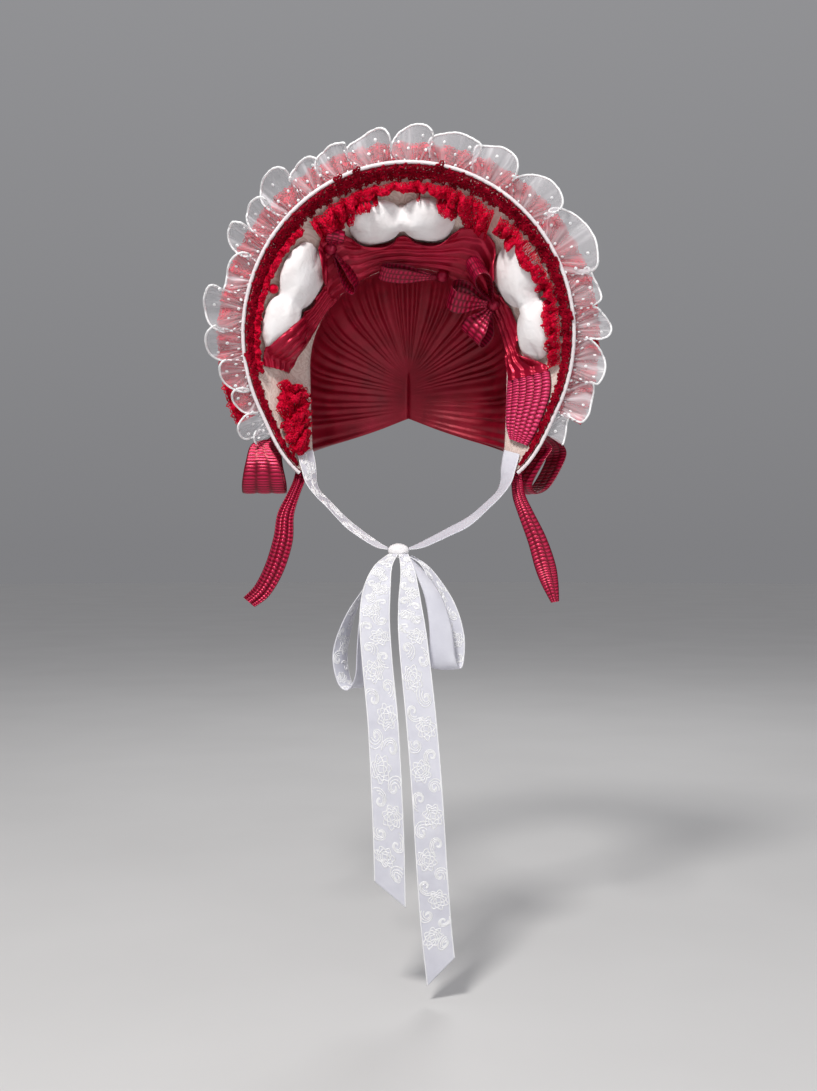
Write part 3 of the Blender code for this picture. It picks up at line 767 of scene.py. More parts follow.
def satin(name, slot, colours, roughness, metallic, crinkle=0.35, coordinates="UV", paints_bar_shade=False):
    """Woven satin: colour that wanders, fine warp threads and small crinkles. On ladder ribbon the colour
    can follow the height of the ladder bars instead, giving a painted highlight on the raised bars and
    painted shade in the hollows between them."""
    made, look = new_material(name, slot)
    wander = look.texture("TexNoise", "Object", Scale=38.0, Detail=4.0, Roughness=0.6)
    source, places = wander, (0.20, 0.50, 0.85)
    # painted shade and highlight: the colour runs from dark in the hollows between the ladder bars to
    # bright on their tops, by bar height
    if paints_bar_shade:
        bars = look.nodes.new("ShaderNodeAttribute")
        bars.attribute_name = "bars"
        source, places = bars.outputs["Fac"], (0.12, 0.45, 0.85)
    look.ramp(source, list(zip(places, colours)), "Base Color")
    look.ramp(wander, [(0.3, roughness), (0.7, roughness + 0.08)], "Roughness")
    put(look.shader, Metallic=metallic)
    warp = look.texture("TexWave", coordinates, Scale=320.0, Distortion=0.6)
    warp.node.bands_direction = "Y"
    crease = look.texture("TexNoise", coordinates, Scale=130.0, Detail=3.0, Distortion=0.8)
    look.bump((crease, crinkle, 0.0009), (warp, 0.12, 0.00015))
    return made


def thread_material(name, slot, colours, roughness):
    """Twisted embroidery thread."""
    made, look = new_material(name, slot)
    wander = look.texture("TexNoise", "Object", Scale=140.0, Detail=3.0)
    look.ramp(wander, list(zip((0.24, 0.50, 0.80), colours)), "Base Color")
    put(look.shader, Roughness=roughness, Specular_Tint=(*colours[2], 1.0))
    ply = look.texture("TexWave", "Object", Scale=420.0, Distortion=2.0, Detail=2.0)
    look.bump((ply, 0.5, 0.0002))
    return made


def organza_material():
    """Sheer woven organza, denser in the fine creases that fan out from its gathers."""
    made, look = new_material("sheer_organza", "organza")
    put(look.shader, Base_Color=(0.93, 0.89, 0.93, 1.0), Roughness=0.30)
    streak = look.texture("TexNoise", "UV", (1, 0.10, 1), Scale=150.0, Detail=2.0, Roughness=0.5)
    look.ramp(streak, [(0.40, 0.23), (0.58, 0.32), (0.66, 0.48), (0.72, 0.62)], "Alpha")
    warp = look.texture("TexWave", "UV", Scale=260.0, Distortion=0.5)
    look.bump((streak, 0.6, 0.0012), (warp, 0.15, 0.0002))
    return made


def puff_material():
    """Soft white cotton satin over padding."""
    made, look = new_material("padded_white", "white_puff")
    wander = look.texture("TexNoise", "Object", Scale=45.0, Detail=4.0)
    stops = [(0.25, (0.82, 0.76, 0.76)), (0.50, (0.90, 0.87, 0.87)), (0.75, (0.94, 0.92, 0.93))]
    look.ramp(wander, stops, "Base Color")
    put(look.shader, Roughness=0.55, Sheen_Weight=0.15)
    weave = look.texture("TexVoronoi", "Object", out="Distance", Scale=900.0)
    crease = look.texture("TexNoise", "Object", Scale=95.0, Detail=4.0, Distortion=1.4)
    look.bump((crease, 0.55, 0.0016), (weave, 0.10, 0.0002))
    return made


def brocade_material():
    """Cream brocade: scrolls of satin on a duller ground."""
    made, look = new_material("cream_brocade_cloth", "cream_brocade")
    scroll = look.texture("TexNoise", "UV", Scale=42.0, Detail=1.0, Distortion=1.8)
    fold = look.nodes.new("ShaderNodeMath")
    fold.operation = "PINGPONG"
    fold.inputs[1].default_value = 0.06
    look.links.new(scroll, fold.inputs[0])
    rings = fold.outputs["Value"]
    look.ramp(rings, [(0.015, (0.66, 0.50, 0.44)), (0.035, (0.78, 0.64, 0.58))], "Base Color")
    look.ramp(rings, [(0.015, 0.62), (0.035, 0.38)], "Roughness")
    put(look.shader, Sheen_Weight=0.2)
    weave = look.texture("TexWave", "UV", Scale=300.0, Distortion=0.5)
    look.bump((rings, 0.6, 0.004), (weave, 0.12, 0.0002))
    return made


def make_materials():
    wine = [(0.17, 0.001, 0.010), (0.30, 0.003, 0.020), (0.44, 0.008, 0.040)]
    drape = [(0.26, 0.001, 0.018), (0.42, 0.004, 0.032), (0.60, 0.014, 0.070)]
    # for the ladder ribbon and the panel, the first colour is painted shade between the bars and the last a
    # painted highlight on their tops; the ladder knot only wanders between these colours at random
    ladder = [(0.17, 0.001, 0.016), (0.36, 0.003, 0.036), (0.56, 0.012, 0.076)]
    panel = [(0.20, 0.002, 0.024), (0.60, 0.016, 0.095), (0.84, 0.060, 0.200)]
    red = [(0.34, 0.001, 0.008), (0.66, 0.004, 0.034), (0.86, 0.016, 0.070)]
    dark = [(0.10, 0.001, 0.005), (0.27, 0.002, 0.014), (0.52, 0.007, 0.032)]
    white = [(0.60, 0.60, 0.67), (0.68, 0.68, 0.75), (0.76, 0.76, 0.81)]
    cord = [(0.86, 0.84, 0.85), (0.93, 0.91, 0.92), (0.97, 0.96, 0.96)]
    piping = [(0.78, 0.70, 0.73), (0.86, 0.79, 0.81), (0.93, 0.88, 0.89)]
    thread = [(0.90, 0.90, 0.92), (0.95, 0.95, 0.96), (0.98, 0.98, 0.98)]
    return {
        "wine": satin("wine_satin_cloth", "wine_satin", wine, 0.38, 0.35),
        "drape": satin("pleated_satin", "wine_satin", drape, 0.30, 0.50, crinkle=0.25),
        "ladder": satin("ladder_ribbon", "ladder_satin", ladder, 0.30, 0.45, crinkle=0.2, paints_bar_shade=True),
        "panel": satin("ladder_panel", "ladder_satin", panel, 0.32, 0.35, crinkle=0.2, paints_bar_shade=True),
        "ladder_knot": satin("ladder_knot", "ladder_satin", ladder, 0.30, 0.45, coordinates="Object"),
        "red": thread_material("red_lace_thread", "red_lace", red, 0.40),
        "dark": thread_material("wine_lace_thread", "wine_lace", dark, 0.45),
        "jacquard": satin("jacquard_ground", "white_jacquard", white, 0.42, 0.0, crinkle=0.16),
        "jacquard_knot": satin("jacquard_knot", "white_jacquard", cord, 0.42, 0.0, coordinates="Object"),
        "scroll": thread_material("jacquard_scrolls", "white_jacquard", thread, 0.30),
        "cord": thread_material("piping_cloth", "white_cord", piping, 0.55),
        "hem": thread_material("organza_hem", "organza", thread, 0.55),
        "organza": organza_material(),
        "puff": puff_material(),
        "brocade": brocade_material(),
    }


# The brim and the crown


def add_brim():
    def shell(s, q):
        t = 2 * s - 1
        quilt = 0.0005 * waver(9 * t, 3) * sin(pi * q)
        return brim_point(t, q, -SHELL_WALL / 2 - np.abs(quilt))

    def lining(s, q):
        t = 0.998 * (2 * s - 1)
        gather = 0.0005 * np.abs(waver(26 * t, 5)) * (1 - q)
        return brim_point(t, mix(0.012, 0.985, q), LINING_FACE - LINING_WALL / 2 + gather)

    cloth("brim", shell, (240, 14), finish["wine"], wall=SHELL_WALL)
    cloth("brim_lining", lining, (240, 14), finish["brocade"], wall=LINING_WALL)


def add_piping():
    """The white cord in its bias cover, a little puckered by the stitches."""
    t = linspace(-1, 1, 700)
    rim = brim_flat(t, 1)
    slope = unit(rim - brim_flat(t, 0))
    pucker = 1 + 0.05 * sin(TURN * 120 * t) + 0.05 * waver(60 * t, 8)
    cord = Thread()
    cord.tube(rim + slope * (CORD_RADIUS + SEAT), brim_normal(t, 1), CORD_RADIUS * pucker, sides=8)
    cord.mesh("rim_piping_cord", finish["cord"], "rim_piping")


def crown_place(s, q):
    """The hood: s runs round each arch from left to right, and q from the seam to the back."""
    t = 2 * s - 1
    side = np.where(t < 0, -1.0, 1.0)
    back, half, top, shoulder, foot = np.moveaxis(between(CROWN_ARCHES, q), -1, 0)
    quarter = SEAM_RADIUS * pi / 2
    along = np.abs(t) * (quarter + SEAM_LEG)
    lean = mix(seam_point(t)[..., 1], 0, ease(2 * q)) + CROWN_GAP
    phase = CROWN_GATHERS * t / 2 + 0.35 * waver(5 * t, 11)
    fold = cos(TURN * phase) * (0.75 + 0.35 * waver(7 * t, 12))
    swell = GATHER_DEPTH * (sin(pi * q) ** 0.6) * fold + 0.0012 * sin(pi * q)
    angle = minimum(along, quarter) / SEAM_RADIUS
    down = maximum(along - quarter, 0) / SEAM_LEG
    arch_x = (half + swell) * sin(angle)
    arch_z = shoulder + (top - shoulder + swell) * cos(angle)
    leg_x = maximum(half - SEAM_LEG_TAPER * down * (1 - q) + swell * (q < 1), 0)
    x = np.where(along < quarter, arch_x, leg_x)
    z = np.where(along < quarter, arch_z, mix(shoulder, foot, down))
    return points_of(side * x, back + lean, z)


def add_crown():
    cloth("crown", crown_place, (420, 32), finish["wine"], CROWN_WALL)


# Frills and lace


def flute_place(s, q):
    """Organza flutes, gathered at the seam. Each lobe's hem curls over the fold beside it like a wave."""
    table = np.array(FLUTES)
    flute = clip(s, 0, 1) * (len(table) - 1)
    i = minimum(flute.astype(int), len(table) - 2)
    u = flute - i
    random = np.random.default_rng(4)
    spans = ((0.7, 1.5), (0.6, 1.6), (0.45, 1.5), (-0.16, 0.10))
    vary, sway, dip, curl = (random.uniform(*span, len(table))[i] for span in spans)
    curl = curl - 0.05 * np.sign(curl)
    pinch = FLUTE_PINCH * vary * ease(1.2 * q)
    turned = sin(TURN * (u - curl)) + sin(TURN * curl)
    degrees = mix(table[i, 0], table[i + 1, 0], u + pinch * turned / TURN)
    lettuce = sin(TURN * 2.5 * u + 2 * i) * sin(pi * u) * (1 + sin(1.9 * i)) * q**2
    crease = 4 * u + 1.2 * waver(3 * flute, 15)
    gather = sin(TURN * crease) * (0.0018 - 0.0012 * q) * minimum(1, 6 * q)
    reach = mix(table[i, 1], table[i + 1, 1], ease(u)) - FLUTE_DIP * dip * sin(pi * u) ** 2
    out = (reach + 0.0009 * lettuce) * q
    swing = FLUTE_SWING * sway * sin(TURN * u) * q**1.4
    forward = 0.25 * out + maximum(swing, -0.20 * out) + 0.0010 * lettuce + gather
    angle = np.radians(degrees)
    base = brim_point(angle / RIM_TURN, ORGANZA_SEAM, -SHELL_WALL - SEAT - 0.0012)
    return base + points_of(out * sin(angle), -forward, out * cos(angle))


def add_organza_frill():
    s = linspace(0, 1, 1200)
    edge = flute_place(s, np.ones_like(s))
    outward = unit(edge - flute_place(s, np.full_like(s, 0.9)))
    hem = Thread()
    hem.tube(edge, outward, HEM_RADIUS * (1 + 0.06 * waver(150 * s, 21)), sides=6)
    lay = Lay(flute_place, 1200, 8)
    dots = Thread()
    for k, share in enumerate((0.20, 0.47, 0.76)):
        for x in arange(DOT_SPACING * (0.4 + 0.5 * (k % 2)), lay.long, DOT_SPACING):
            centre, normal = lay.at(x + 0.002 * waver(x / 0.03, 16), share * lay.wide)
            dots.dot(centre, normal, DOT_RADIUS, 0.0008)
    trims = [hem.mesh("organza_hem_cord", finish["hem"]), dots.mesh("organza_dots", finish["hem"])]
    cloth("organza_frill", flute_place, (1100, 18), finish["organza"], 0)


def outer_lace_place(s, q):
    t = OUTER_LACE_END * (2 * s - 1)
    ripple = sin(TURN * OUTER_LACE_FOLDS * s + 1.5 * waver(9 * s, 51))
    angle = RIM_TURN * t
    base = brim_point(t, OUTER_LACE_SEAM, -SHELL_WALL - SEAT - LACE_WALL)
    out = OUTER_LACE_REACH * q
    back = 0.12 * out + OUTER_LACE_SWING * (1 + ripple) * q + 0.0012 * q
    return base + points_of(out * sin(angle), back, out * cos(angle))


def rim_lace_place(s, q):
    t = 0.985 * (2 * s - 1)
    inner = RIM_LACE_INNER + 0.008 * cos(TURN * 40 * s)
    return brim_point(t, mix(inner, RIM_LACE_OUTER, q), LINING_FACE + 0.0010 + 0.0006 * waver(45 * s, 31))


def ruffle(bands, folds, rise, seed, spill=0.03, loose=1.0, over=1.0):
    """Gathered lace on the lining, whose free inner edge spills over the puff beside it, or with over at 0
    is tucked beside it."""

    def place(s, q):
        t, low, high = np.moveaxis(between(bands, s), -1, 0)
        fold = sin(TURN * folds * s + 1.8 * waver(5 * s, seed))
        free = 1 - q
        bunch = waver(0.45 * folds * s, seed + 1)
        v = mix(low - spill + 0.035 * loose * bunch, high, q) + 0.018 * loose * fold * free
        t = t + 0.006 * cos(TURN * folds * s) * free
        body = sin(pi * clip(0.16 + 0.74 * free, 0, 1))
        lift = rise * (1 + 0.35 * bunch) * body * (1 + 0.6 * fold)
        lift = lift + 0.0012 * waver(folds * 2.3 * s + q, seed + 2)
        cover = over * PUFF_RISE * puff_cover(t, v) + 0.0010 + 0.0012 * fold
        return brim_point(t, v, ON_FACE + 0.0010 + maximum(lift, cover))

    return place


def cheek_place(s, q):
    t, low, high = np.moveaxis(between(LACE_CHEEK, s), -1, 0)
    fold = cos(TURN * (3.4 * s + 0.9 * q) + 2.4 * waver(2 * s + 0.8 * q, 44))
    lift = 0.0070 * (1 + 0.75 * fold) * sin(pi * (0.12 + 0.78 * q)) ** 0.7
    lift = lift + 0.0018 * waver(5 * s + 3 * q, 46)
    ragged = mix(0.09 * waver(7 * s, 47) + 0.04 * fold, 0.10 * waver(6 * s, 45) + 0.03 * fold, q)
    v = clip(mix(low, high, q) + ragged, 0.02, 0.88)
    return brim_point(t + 0.008 * fold * q + 0.012 * waver(3 * q, 48) * s, v, ON_FACE + 0.0010 + lift)


def add_lace():
    strays = [(0.41, 0.004, 0.0048), (0.435, 0.004, 0.0042), (0.54, 0.004, 0.0050)]
    strays += [(0.73, 0.003, 0.0045), (0.80, 0.003, 0.0050), (0.15, 0.003, 0.0048)]
    dark, red = finish["dark"], finish["red"]
    top = ruffle(LACE_TOP, 12, 0.009, 41, 0.015)
    left = ruffle(LACE_LEFT, 13, 0.004, 42, 0.0, 0.35, 0.0)
    right = ruffle(LACE_RIGHT, 11, 0.009, 43, 0.02)
    lace("rim_lace", rim_lace_place, dark, 0.0060, (0.28, 0.72), 1, "laid", strays)
    lace("outer_lace_frill", outer_lace_place, red, 0.0080, (0.22, 0.55, 0.86), 2)
    lace("puff_lace_top", top, red, 0.0055, (0.12, 0.45, 0.8), 3)
    lace("puff_lace_left", left, red, 0.0050, (0.25, 0.75), 4)
    lace("puff_lace_right", right, red, 0.0052, (0.2, 0.7), 5)
    lace("cheek_lace_left", cheek_place, red, 0.0060, (0.12, 0.38, 0.64, 0.9), 6)


# Padded puffs


def puff_half(puff, along):
    """Half the width of a puff at a distance along it from its middle."""
    widest = np.zeros_like(along)
    for centre, half in ((-puff.spread, puff.first), (puff.spread, puff.second)):
        share = clip(np.abs(along - centre) / puff.length, 0, 1)
        widest = maximum(widest, PUFF_FILL * half * (1 - share**2.5) ** 0.4)
    return widest


def puff_cover(t, v):
    """How high the puffs stand at a place on the brim."""
    highest = np.zeros_like(np.asarray(t, float))
    for puff in PUFFS:
        along_scale, across_scale = brim_scale(puff.t, puff.v)
        turn = math.radians(-puff.turn)
        a, b = (t - puff.t) * along_scale, (v - puff.v) * across_scale
        along = a * math.cos(turn) - b * math.sin(turn)
        side = np.abs(a * math.sin(turn) + b * math.cos(turn))
        half = maximum(puff_half(puff, along), 1e-6)
        height = PUFF_HEIGHT * half / max(puff.first, puff.second)
        dome = height * (0.5 + 0.5 * np.sqrt(clip(1 - (side / half) ** 2, 0, 1)))
        highest = maximum(highest, np.where(side < half, dome, 0))
    return highest


def pillow(puff):
    """A slack two-lobed pillow in its own flat frame: x along it, y across it, z off the lining."""
    rings, sides = 90, 60
    rise, spin = ring_grid(rings, sides, 0.02)
    along = -(puff.spread + puff.length) * cos(rise)
    half = puff_half(puff, along)
    height = PILLOW_SLACK * half / max(puff.first, puff.second)
    points = points_of(along, half * cos(spin), height * (0.5 + 0.5 * sin(spin)))
    faces = [list(face) for face in ring_faces(rings, sides)]
    faces += [list(range(sides)), list(range((rings - 1) * sides, rings * sides))[::-1]]
    return points.reshape(-1, 3), faces


def inflate(name, points, faces):
    """Fills a pillow by cloth simulation, sewn down along its base, and gives its points and faces.
    The cloth is cut a little large, so that it creases. It is simulated at SIM_SCALE times its size."""
    made = new_object(name, points * SIM_SCALE, faces)
    remesh = made.modifiers.new("even_cells", "REMESH")
    remesh.mode = "VOXEL"
    remesh.voxel_size = PILLOW_CELL * SIM_SCALE
    even = bpy.data.meshes.new_from_object(made.evaluated_get(bpy.context.evaluated_depsgraph_get()))
    made.modifiers.clear()
    made.data = even
    base = made.vertex_groups.new(name="base")
    base.add([v.index for v in even.vertices if v.co.z < 0.0006 * SIM_SCALE], 1.0, "REPLACE")
    cloth_filter = made.modifiers.new("filling", "CLOTH")
    settings = cloth_filter.settings
    for setting, value in PILLOW_CLOTH.items():
        setattr(settings, setting, value)
    settings.effector_weights.gravity = 0
    settings.vertex_group_mass = "base"
    cloth_filter.point_cache.frame_end = PILLOW_FRAMES
    for number in range(1, PILLOW_FRAMES + 1):
        bpy.context.scene.frame_set(number)
    full = bpy.data.meshes.new_from_object(made.evaluated_get(bpy.context.evaluated_depsgraph_get()))
    start, end = mesh_points(even) / SIM_SCALE, mesh_points(full) / SIM_SCALE
    move = end - start
    far = np.linalg.norm(move, axis=1, keepdims=True)
    end = start + move * minimum(1, PILLOW_CAP / maximum(far, 1e-9))
    cells = [list(polygon.vertices) for polygon in full.polygons]
    bpy.data.objects.remove(made)
    bpy.context.scene.frame_set(1)
    return end, cells


def add_puff(puff):
    """A padded puff of two lobes, pinched between them, curved with the brim that it is sewn to."""
    points, faces = inflate(puff.name + "_pillow", *pillow(puff))
    along_scale, across_scale = brim_scale(puff.t, puff.v)
    turn = math.radians(puff.turn)
    a = points[:, 0] * math.cos(turn) - points[:, 1] * math.sin(turn)
    b = points[:, 0] * math.sin(turn) + points[:, 1] * math.cos(turn)
    lift = ON_FACE + PUFF_RISE * maximum(points[:, 2], 0)
    placed = brim_point(puff.t + a / along_scale, puff.v + b / across_scale, lift)
    made = add_mesh(puff.name + "_padded", placed, faces, finish["puff"], puff.name)
    relax = made.modifiers.new("relaxed", "SMOOTH")
    relax.factor = 0.5
    relax.iterations = 14


# Satin drapes, bows and ribbons


def drape(bands, pleats, depth, rise):
    """Satin laid along the brim in knife pleats, over any puff that lies under it."""

    def place(s, q):
        t, low, high = np.moveaxis(between(bands, s), -1, 0)
        v = mix(low, high, q)
        cover = sum(puff_cover(t + a, v + b) for a in (-0.015, 0, 0.015) for b in (-0.04, 0, 0.04)) / 9
        cover = maximum(cover, puff_cover(t, v))
        phase = pleats * q + 0.25 * waver(1.2 * s, pleats) + 0.10 * waver(5 * s, pleats + 1)
        share = phase - np.floor(phase)
        pleat = depth * minimum(share / 0.78, (1 - share) / 0.22) ** 0.8
        body = rise * sin(pi * q) ** 0.7
        lift = maximum(body, PUFF_RISE * cover + 0.0006) + pleat
        return brim_point(t, v, ON_FACE + 0.0006 + lift)

    return place


def ladder_bars(x, y, columns):
    """The ribbon's ladders, from 0 to 1: bars across it, between shirring lines along it. x is along it in
    metres and y across it, from 0 to 1."""
    column = columns * np.asarray(y, float)
    lines = np.abs(sin(pi * column)) ** 0.5
    slip = 0.22 * sin(2.7 * np.floor(column)) + 0.15 * waver(np.asarray(x, float) / 0.02, 23)
    return lines * (0.5 + 0.5 * cos(TURN * (x / BAR_PITCH + slip)))


def panel_bars(s, q):
    return ladder_bars(s * PANEL_LENGTH, q, 6)


def ladder_panel(s, q):
    t, low, high = np.moveaxis(between(LADDER, s), -1, 0)
    body = 0.004 * sin(pi * q) ** 0.6 + 0.0010 * np.abs(sin(6 * pi * q))
    lift = body + 0.0014 * panel_bars(s, q)
    return brim_point(t, mix(low, high, q), ON_FACE + 0.0006 + lift)


def ribbon_bars(long):
    """The ladders of a narrower ribbon of that length."""
    return lambda s, q: ladder_bars(s * long, q, 3)


def ribbon(sections, cut=0.0, cup=0.0, folds=0, fold_depth=0.0, ladder=0.0, wander=0.0):
    """A ribbon through its sections. Its across direction is a heading in the floor plane, 0 at +X and
    90 at +Y, and a tilt above it. cut slants its far end, cup bows it and folds ripple it across."""

    def line(s):
        row = between(sections, s)
        heading, tilt = np.radians(row[..., 4]), np.radians(row[..., 5])
        across = points_of(cos(tilt) * cos(heading), cos(tilt) * sin(heading), sin(tilt))
        return row[..., :3], across, row[..., 3:4]

    def place(s, q):
        centre, across, width = line(s)
        ahead = unit(line(clip(s + 0.002, 0, 1))[0] - line(clip(s - 0.002, 0, 1))[0])
        face = unit(np.cross(ahead, across))
        side = (q - 0.5)[..., None]
        bow = cup * (1 - 4 * side * side) + fold_depth * cos(TURN * folds * side)
        bow = bow + ladder * ladder_bars(s * RIBBON_LENGTH, q, 3)[..., None]
        bow = bow + wander * (waver(3 * s + 0.4 * q, 17) * sin(pi * s))[..., None]
        return centre + across * width * side + face * bow + ahead * cut * side * ease(5 * s - 4)[..., None]

    return place


def brim_loop(loop):
    """A teardrop loop of ladder ribbon that starts beside its knot."""
    step = 0.002
    along = unit(brim_flat(loop.t + step, loop.v) - brim_flat(loop.t - step, loop.v))
    normal = brim_normal(loop.t, loop.v)
    slope = np.cross(normal, along)
    turn, climb, roll = (math.radians(value) for value in (loop.turn, loop.climb, loop.roll))
    level = along * math.cos(turn) + slope * math.sin(turn)
    ahead = level * math.cos(climb) + normal * math.sin(climb)
    flat_side = np.cross(level, normal)
    off = np.cross(flat_side, ahead)
    side = flat_side * math.cos(roll) + off * math.sin(roll)
    depth = np.cross(side, ahead)
    foot = brim_point(loop.t, loop.v, loop.h) + ahead * (KNOT_RADIUS + SEAT / 2)

    def place(s, q):
        phase = TURN * s
        reach = (1 - cos(phase)) / 2
        crimp = 0.0010 * cos(TURN * 3 * q) * (1 - reach)
        belly = -loop.rise * sin(phase) * reach + (s - 0.5) * 0.0024 + crimp
        belly = belly + 0.0006 * ladder_bars(s * 2.2 * loop.length, q, 3)
        width = loop.width * (0.35 + 0.65 * ease(1.6 * reach))
        out = (loop.length * reach)[..., None] * ahead + belly[..., None] * depth
        return foot + out + (width * (q - 0.5))[..., None] * side

    return place


def add_knot(node, centre, radii, material, seed, turns=7):
    """A knot of folded ribbon: pleats that run round it and meet at its ends."""
    rings, sides = 32, 48
    rise, spin = ring_grid(rings, sides, 0.02)
    pleat = 1 - 0.10 * np.abs(sin(turns * spin / 2 + waver(rise / 3, seed)))
    x, y, z = cos(rise), sin(rise) * cos(spin), sin(rise) * sin(spin)
    points = np.asarray(centre) + points_of(x, y * pleat, z * pleat) * np.asarray(radii)
    made = add_mesh(node + "_folds", points, ring_faces(rings, sides), material, node)


def add_trim():
    swags = {
        "swag_top": (drape(SWAG_TOP, 5, 0.0032, 0.0035), (170, 46)),
        "swag_left": (drape(SWAG_LEFT, 5, 0.0030, 0.0050), (120, 46)),
        "swag_right": (drape(SWAG_RIGHT, 4, 0.0030, 0.0050), (110, 40)),
    }
    for node, (place, cells) in swags.items():
        cloth(node, place, cells, finish["drape"])
    panel = finish["panel"]
    cloth("ladder_ribbon_right", ladder_panel, (170, 60), panel, bars=panel_bars)
    for loop in BRIM_LOOPS:
        bars = ribbon_bars(2.2 * loop.length)
        cloth(loop.name, brim_loop(loop), (130, 18), finish["ladder"], bars=bars)
    for seed, knot in enumerate(BOW_KNOTS):
        centre = brim_point(knot.t, knot.v, ON_FACE + KNOT_RADIUS + knot.lift)
        add_knot(knot.name, centre, (KNOT_RADIUS,) * 3, finish["ladder_knot"], seed)
    centre = brim_point(*LACE_KNOT, ON_FACE + LACE_KNOT_RADIUS)
    add_knot("lace_knot_left", centre, (LACE_KNOT_RADIUS,) * 3, finish["red"], 9, turns=11)


def add_side_ribbons():
    folded, hung = {"ladder": 0.0007}, {"folds": 2, "fold_depth": 0.0015, "ladder": 0.0004}
    pieces = {
        "side_loop_left": (SIDE_LOOP_LEFT, "folded", folded),
        "side_loop_right": (SIDE_LOOP_RIGHT, "folded", folded),
        "side_tail_left": (SIDE_TAIL_LEFT, "hung", hung),
        "side_tail_right": (SIDE_TAIL_RIGHT, "hung", {"cup": 0.002, **folded}),
    }
    bars = ribbon_bars(RIBBON_LENGTH)
    for node, (sections, held, form) in pieces.items():
        cloth(node, ribbon(sections, **form), (210, 18), finish["ladder"], bars=bars)


def woven(thread, lay, x, y, radius, closed=False):
    """A thread woven into the ribbon, inside its selvedges."""
    path, normal = lay.at(x, clip(y, WEAVE_EDGE, lay.wide - WEAVE_EDGE), WEAVE_LIFT)
    thread.tube(path, normal, radius, sides=4, closed=closed, flatten=0.6)


def rose(thread, lay, x, y, radius, turn):
    """A woven rose: petals in rings round a spiral heart."""
    for share, petals in ((1.0, 7), (0.76, 6), (0.53, 5), (0.30, 4)):
        phase = around(7 * petals)
        reach = share * radius * (0.86 + 0.14 * cos(petals * phase + 3 * share))
        phase = phase + turn
        woven(thread, lay, x + reach * cos(phase), y + reach * sin(phase), WEAVE_THREAD, True)


def scroll(thread, lay, x, y, size, turn, hand):
    """Woven leaves: three stems beside each other that curl into a spiral."""
    phase = linspace(0.2, 7.2, 24)
    for share in (1.0, 0.74, 0.5):
        reach = share * size * np.exp(-0.24 * phase)
        curl = phase * hand + turn + share
        taper = WEAVE_THREAD * linspace(1.1, 0.7, 24)
        woven(thread, lay, x + reach * cos(curl), y + reach * sin(curl), taper)


def damask(node, place, seed):
    """Roses and scrolls woven into the ribbon, and its two selvedges."""
    lay = Lay(place, 300, 6)
    thread = Thread()
    random = np.random.default_rng(seed)
    for k, x in enumerate(arange(0.020, lay.long - 0.020, 0.031)):
        middle = lay.wide * (0.36 if k % 2 else 0.64)
        rose(thread, lay, x, middle, 0.33 * lay.wide, random.uniform(0, 6))
        for hand in (-1, 1):
            across = lay.wide * (0.74 if k % 2 else 0.26)
            scroll(thread, lay, x + hand * 0.0115, across, 0.36 * lay.wide, random.uniform(0, 6), hand)
    for y in (0.0006, lay.wide - 0.0006):
        x = linspace(0.001, lay.long - 0.001, 260)
        path, normal = lay.at(x, y, 0.0001)
        thread.tube(path, normal, 0.0007, sides=5, flatten=0.6)
    return thread.mesh(node + "_weave", finish["scroll"])


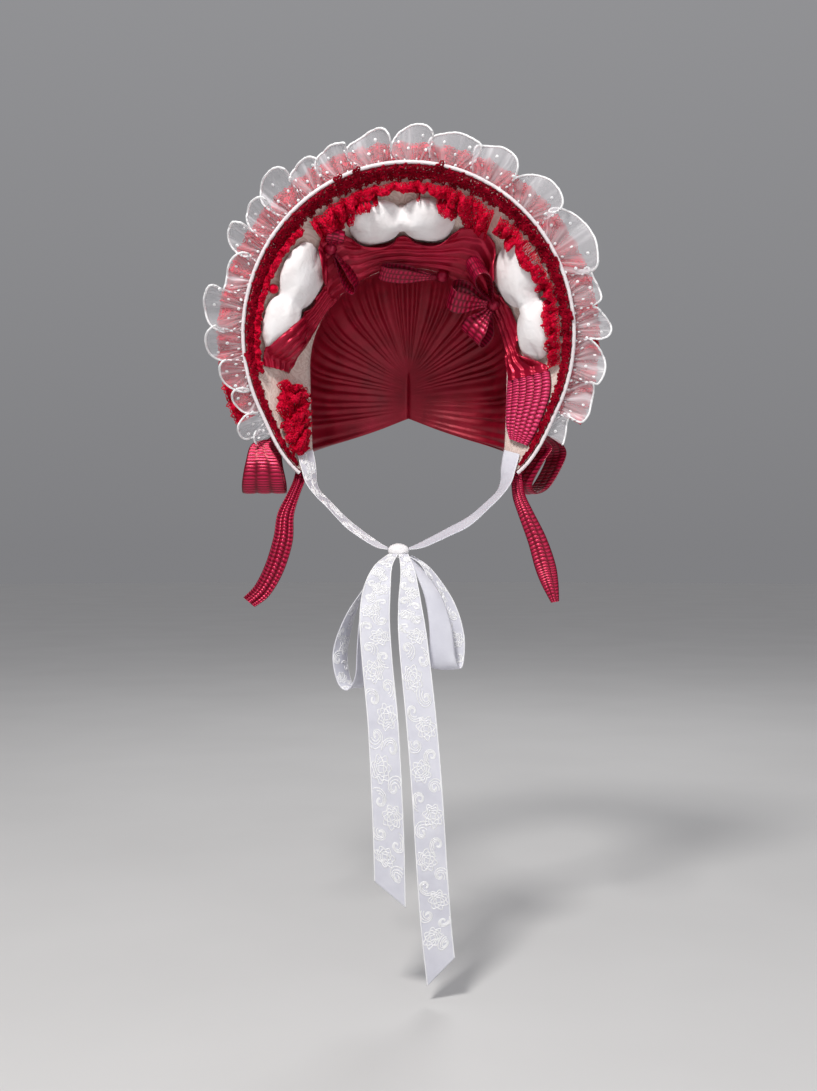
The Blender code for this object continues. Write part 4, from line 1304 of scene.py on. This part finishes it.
def add_chin_tie():
    """The white jacquard tie: straps, knot, two loops and two tails."""
    mirrored = [row._replace(x=-row.x, heading=180 - row.heading) for row in STRAP_LEFT]
    share = ease(linspace(-1, 1, len(mirrored)))
    strap_right = [row._replace(x=row.x + 2 * TIE_KNOT_CENTRE[0] * by) for row, by in zip(mirrored, share)]
    pieces = {
        "tie_strap_left": (ribbon(STRAP_LEFT), "hung"),
        "tie_strap_right": (ribbon(strap_right), "hung"),
        "tie_loop_left": (ribbon(TIE_LOOP_LEFT, cup=0.0012, wander=0.0008), "folded"),
        "tie_loop_right": (ribbon(TIE_LOOP_RIGHT, cup=-0.0012, wander=0.0008), "folded"),
        "tie_tail_left": (ribbon(TIE_TAIL_LEFT, cut=TAIL_SLANT_LEFT, wander=0.0012), "hung"),
        "tie_tail_right": (ribbon(TIE_TAIL_RIGHT, cut=TAIL_SLANT_RIGHT, wander=0.0012), "hung"),
    }
    for seed, (node, (place, held)) in enumerate(pieces.items()):
        weave = damask(node, place, seed)
        cloth(node, place, (150, 12), finish["jacquard"], TIE_WALL)
    add_knot("tie_knot", TIE_KNOT_CENTRE, TIE_KNOT_RADII, finish["jacquard_knot"], 5, turns=5)


# The studio


def add_light(name, place, radius, power, colour=(1, 1, 1)):
    """A soft round lamp."""
    light = new_item(name, bpy.data.lights.new(name, "POINT"))
    light.location = place
    light.data.shadow_soft_size = radius
    light.data.energy = power
    light.data.color = colour


def add_studio():
    """A plain pale floor that meets a background of its own tone, and three soft lights."""
    scene = bpy.context.scene
    scene.view_settings.view_transform = "Standard"
    world = bpy.data.worlds.new("studio")
    scene.world = world
    world.use_nodes = True
    sky = Look(world.node_tree, "Background")
    height = sky.texture("SeparateXYZ", "Generated", out="Z")
    sky.ramp(height, [(0.0, (0.215, 0.215, 0.225)), (1.0, (0.40, 0.40, 0.415))], "Color")
    floor_material, look = new_material("floor_paint", "")
    grain = look.texture("TexNoise", "Object", Scale=3.0, Detail=3.0)
    look.ramp(grain, [(0.3, (0.61, 0.605, 0.60)), (0.7, (0.64, 0.635, 0.63))], "Base Color")
    put(look.shader, Roughness=0.9)
    rim = around(96)
    floor = new_object("floor", FLOOR_RADIUS * points_of(cos(rim), sin(rim), 0), [range(96)])
    floor.data.materials.append(floor_material)
    floor.location.z = cad_box[0][2] - FLOOR_DROP
    floor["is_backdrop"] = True
    add_light("key", (-0.50, -1.30, 1.15), 0.20, 125, (1.0, 0.98, 0.96))
    add_light("fill", (0.9, -1.5, -0.10), 0.45, 15, (0.95, 0.97, 1.0))
    add_light("back", (0.3, 1.4, 1.0), 0.40, 34)


add_camera()
finish = make_materials()
add_brim()
add_piping()
add_crown()
add_organza_frill()
add_lace()
for puff in PUFFS:
    add_puff(puff)
add_trim()
add_side_ribbons()
add_chin_tie()
add_studio()

bpy.context.view_layer.update()
sizes = {"cad": cad_box, "scene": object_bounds()}
sizes = {name: [[float(v) for v in corner] for corner in box] for name, box in sizes.items()}
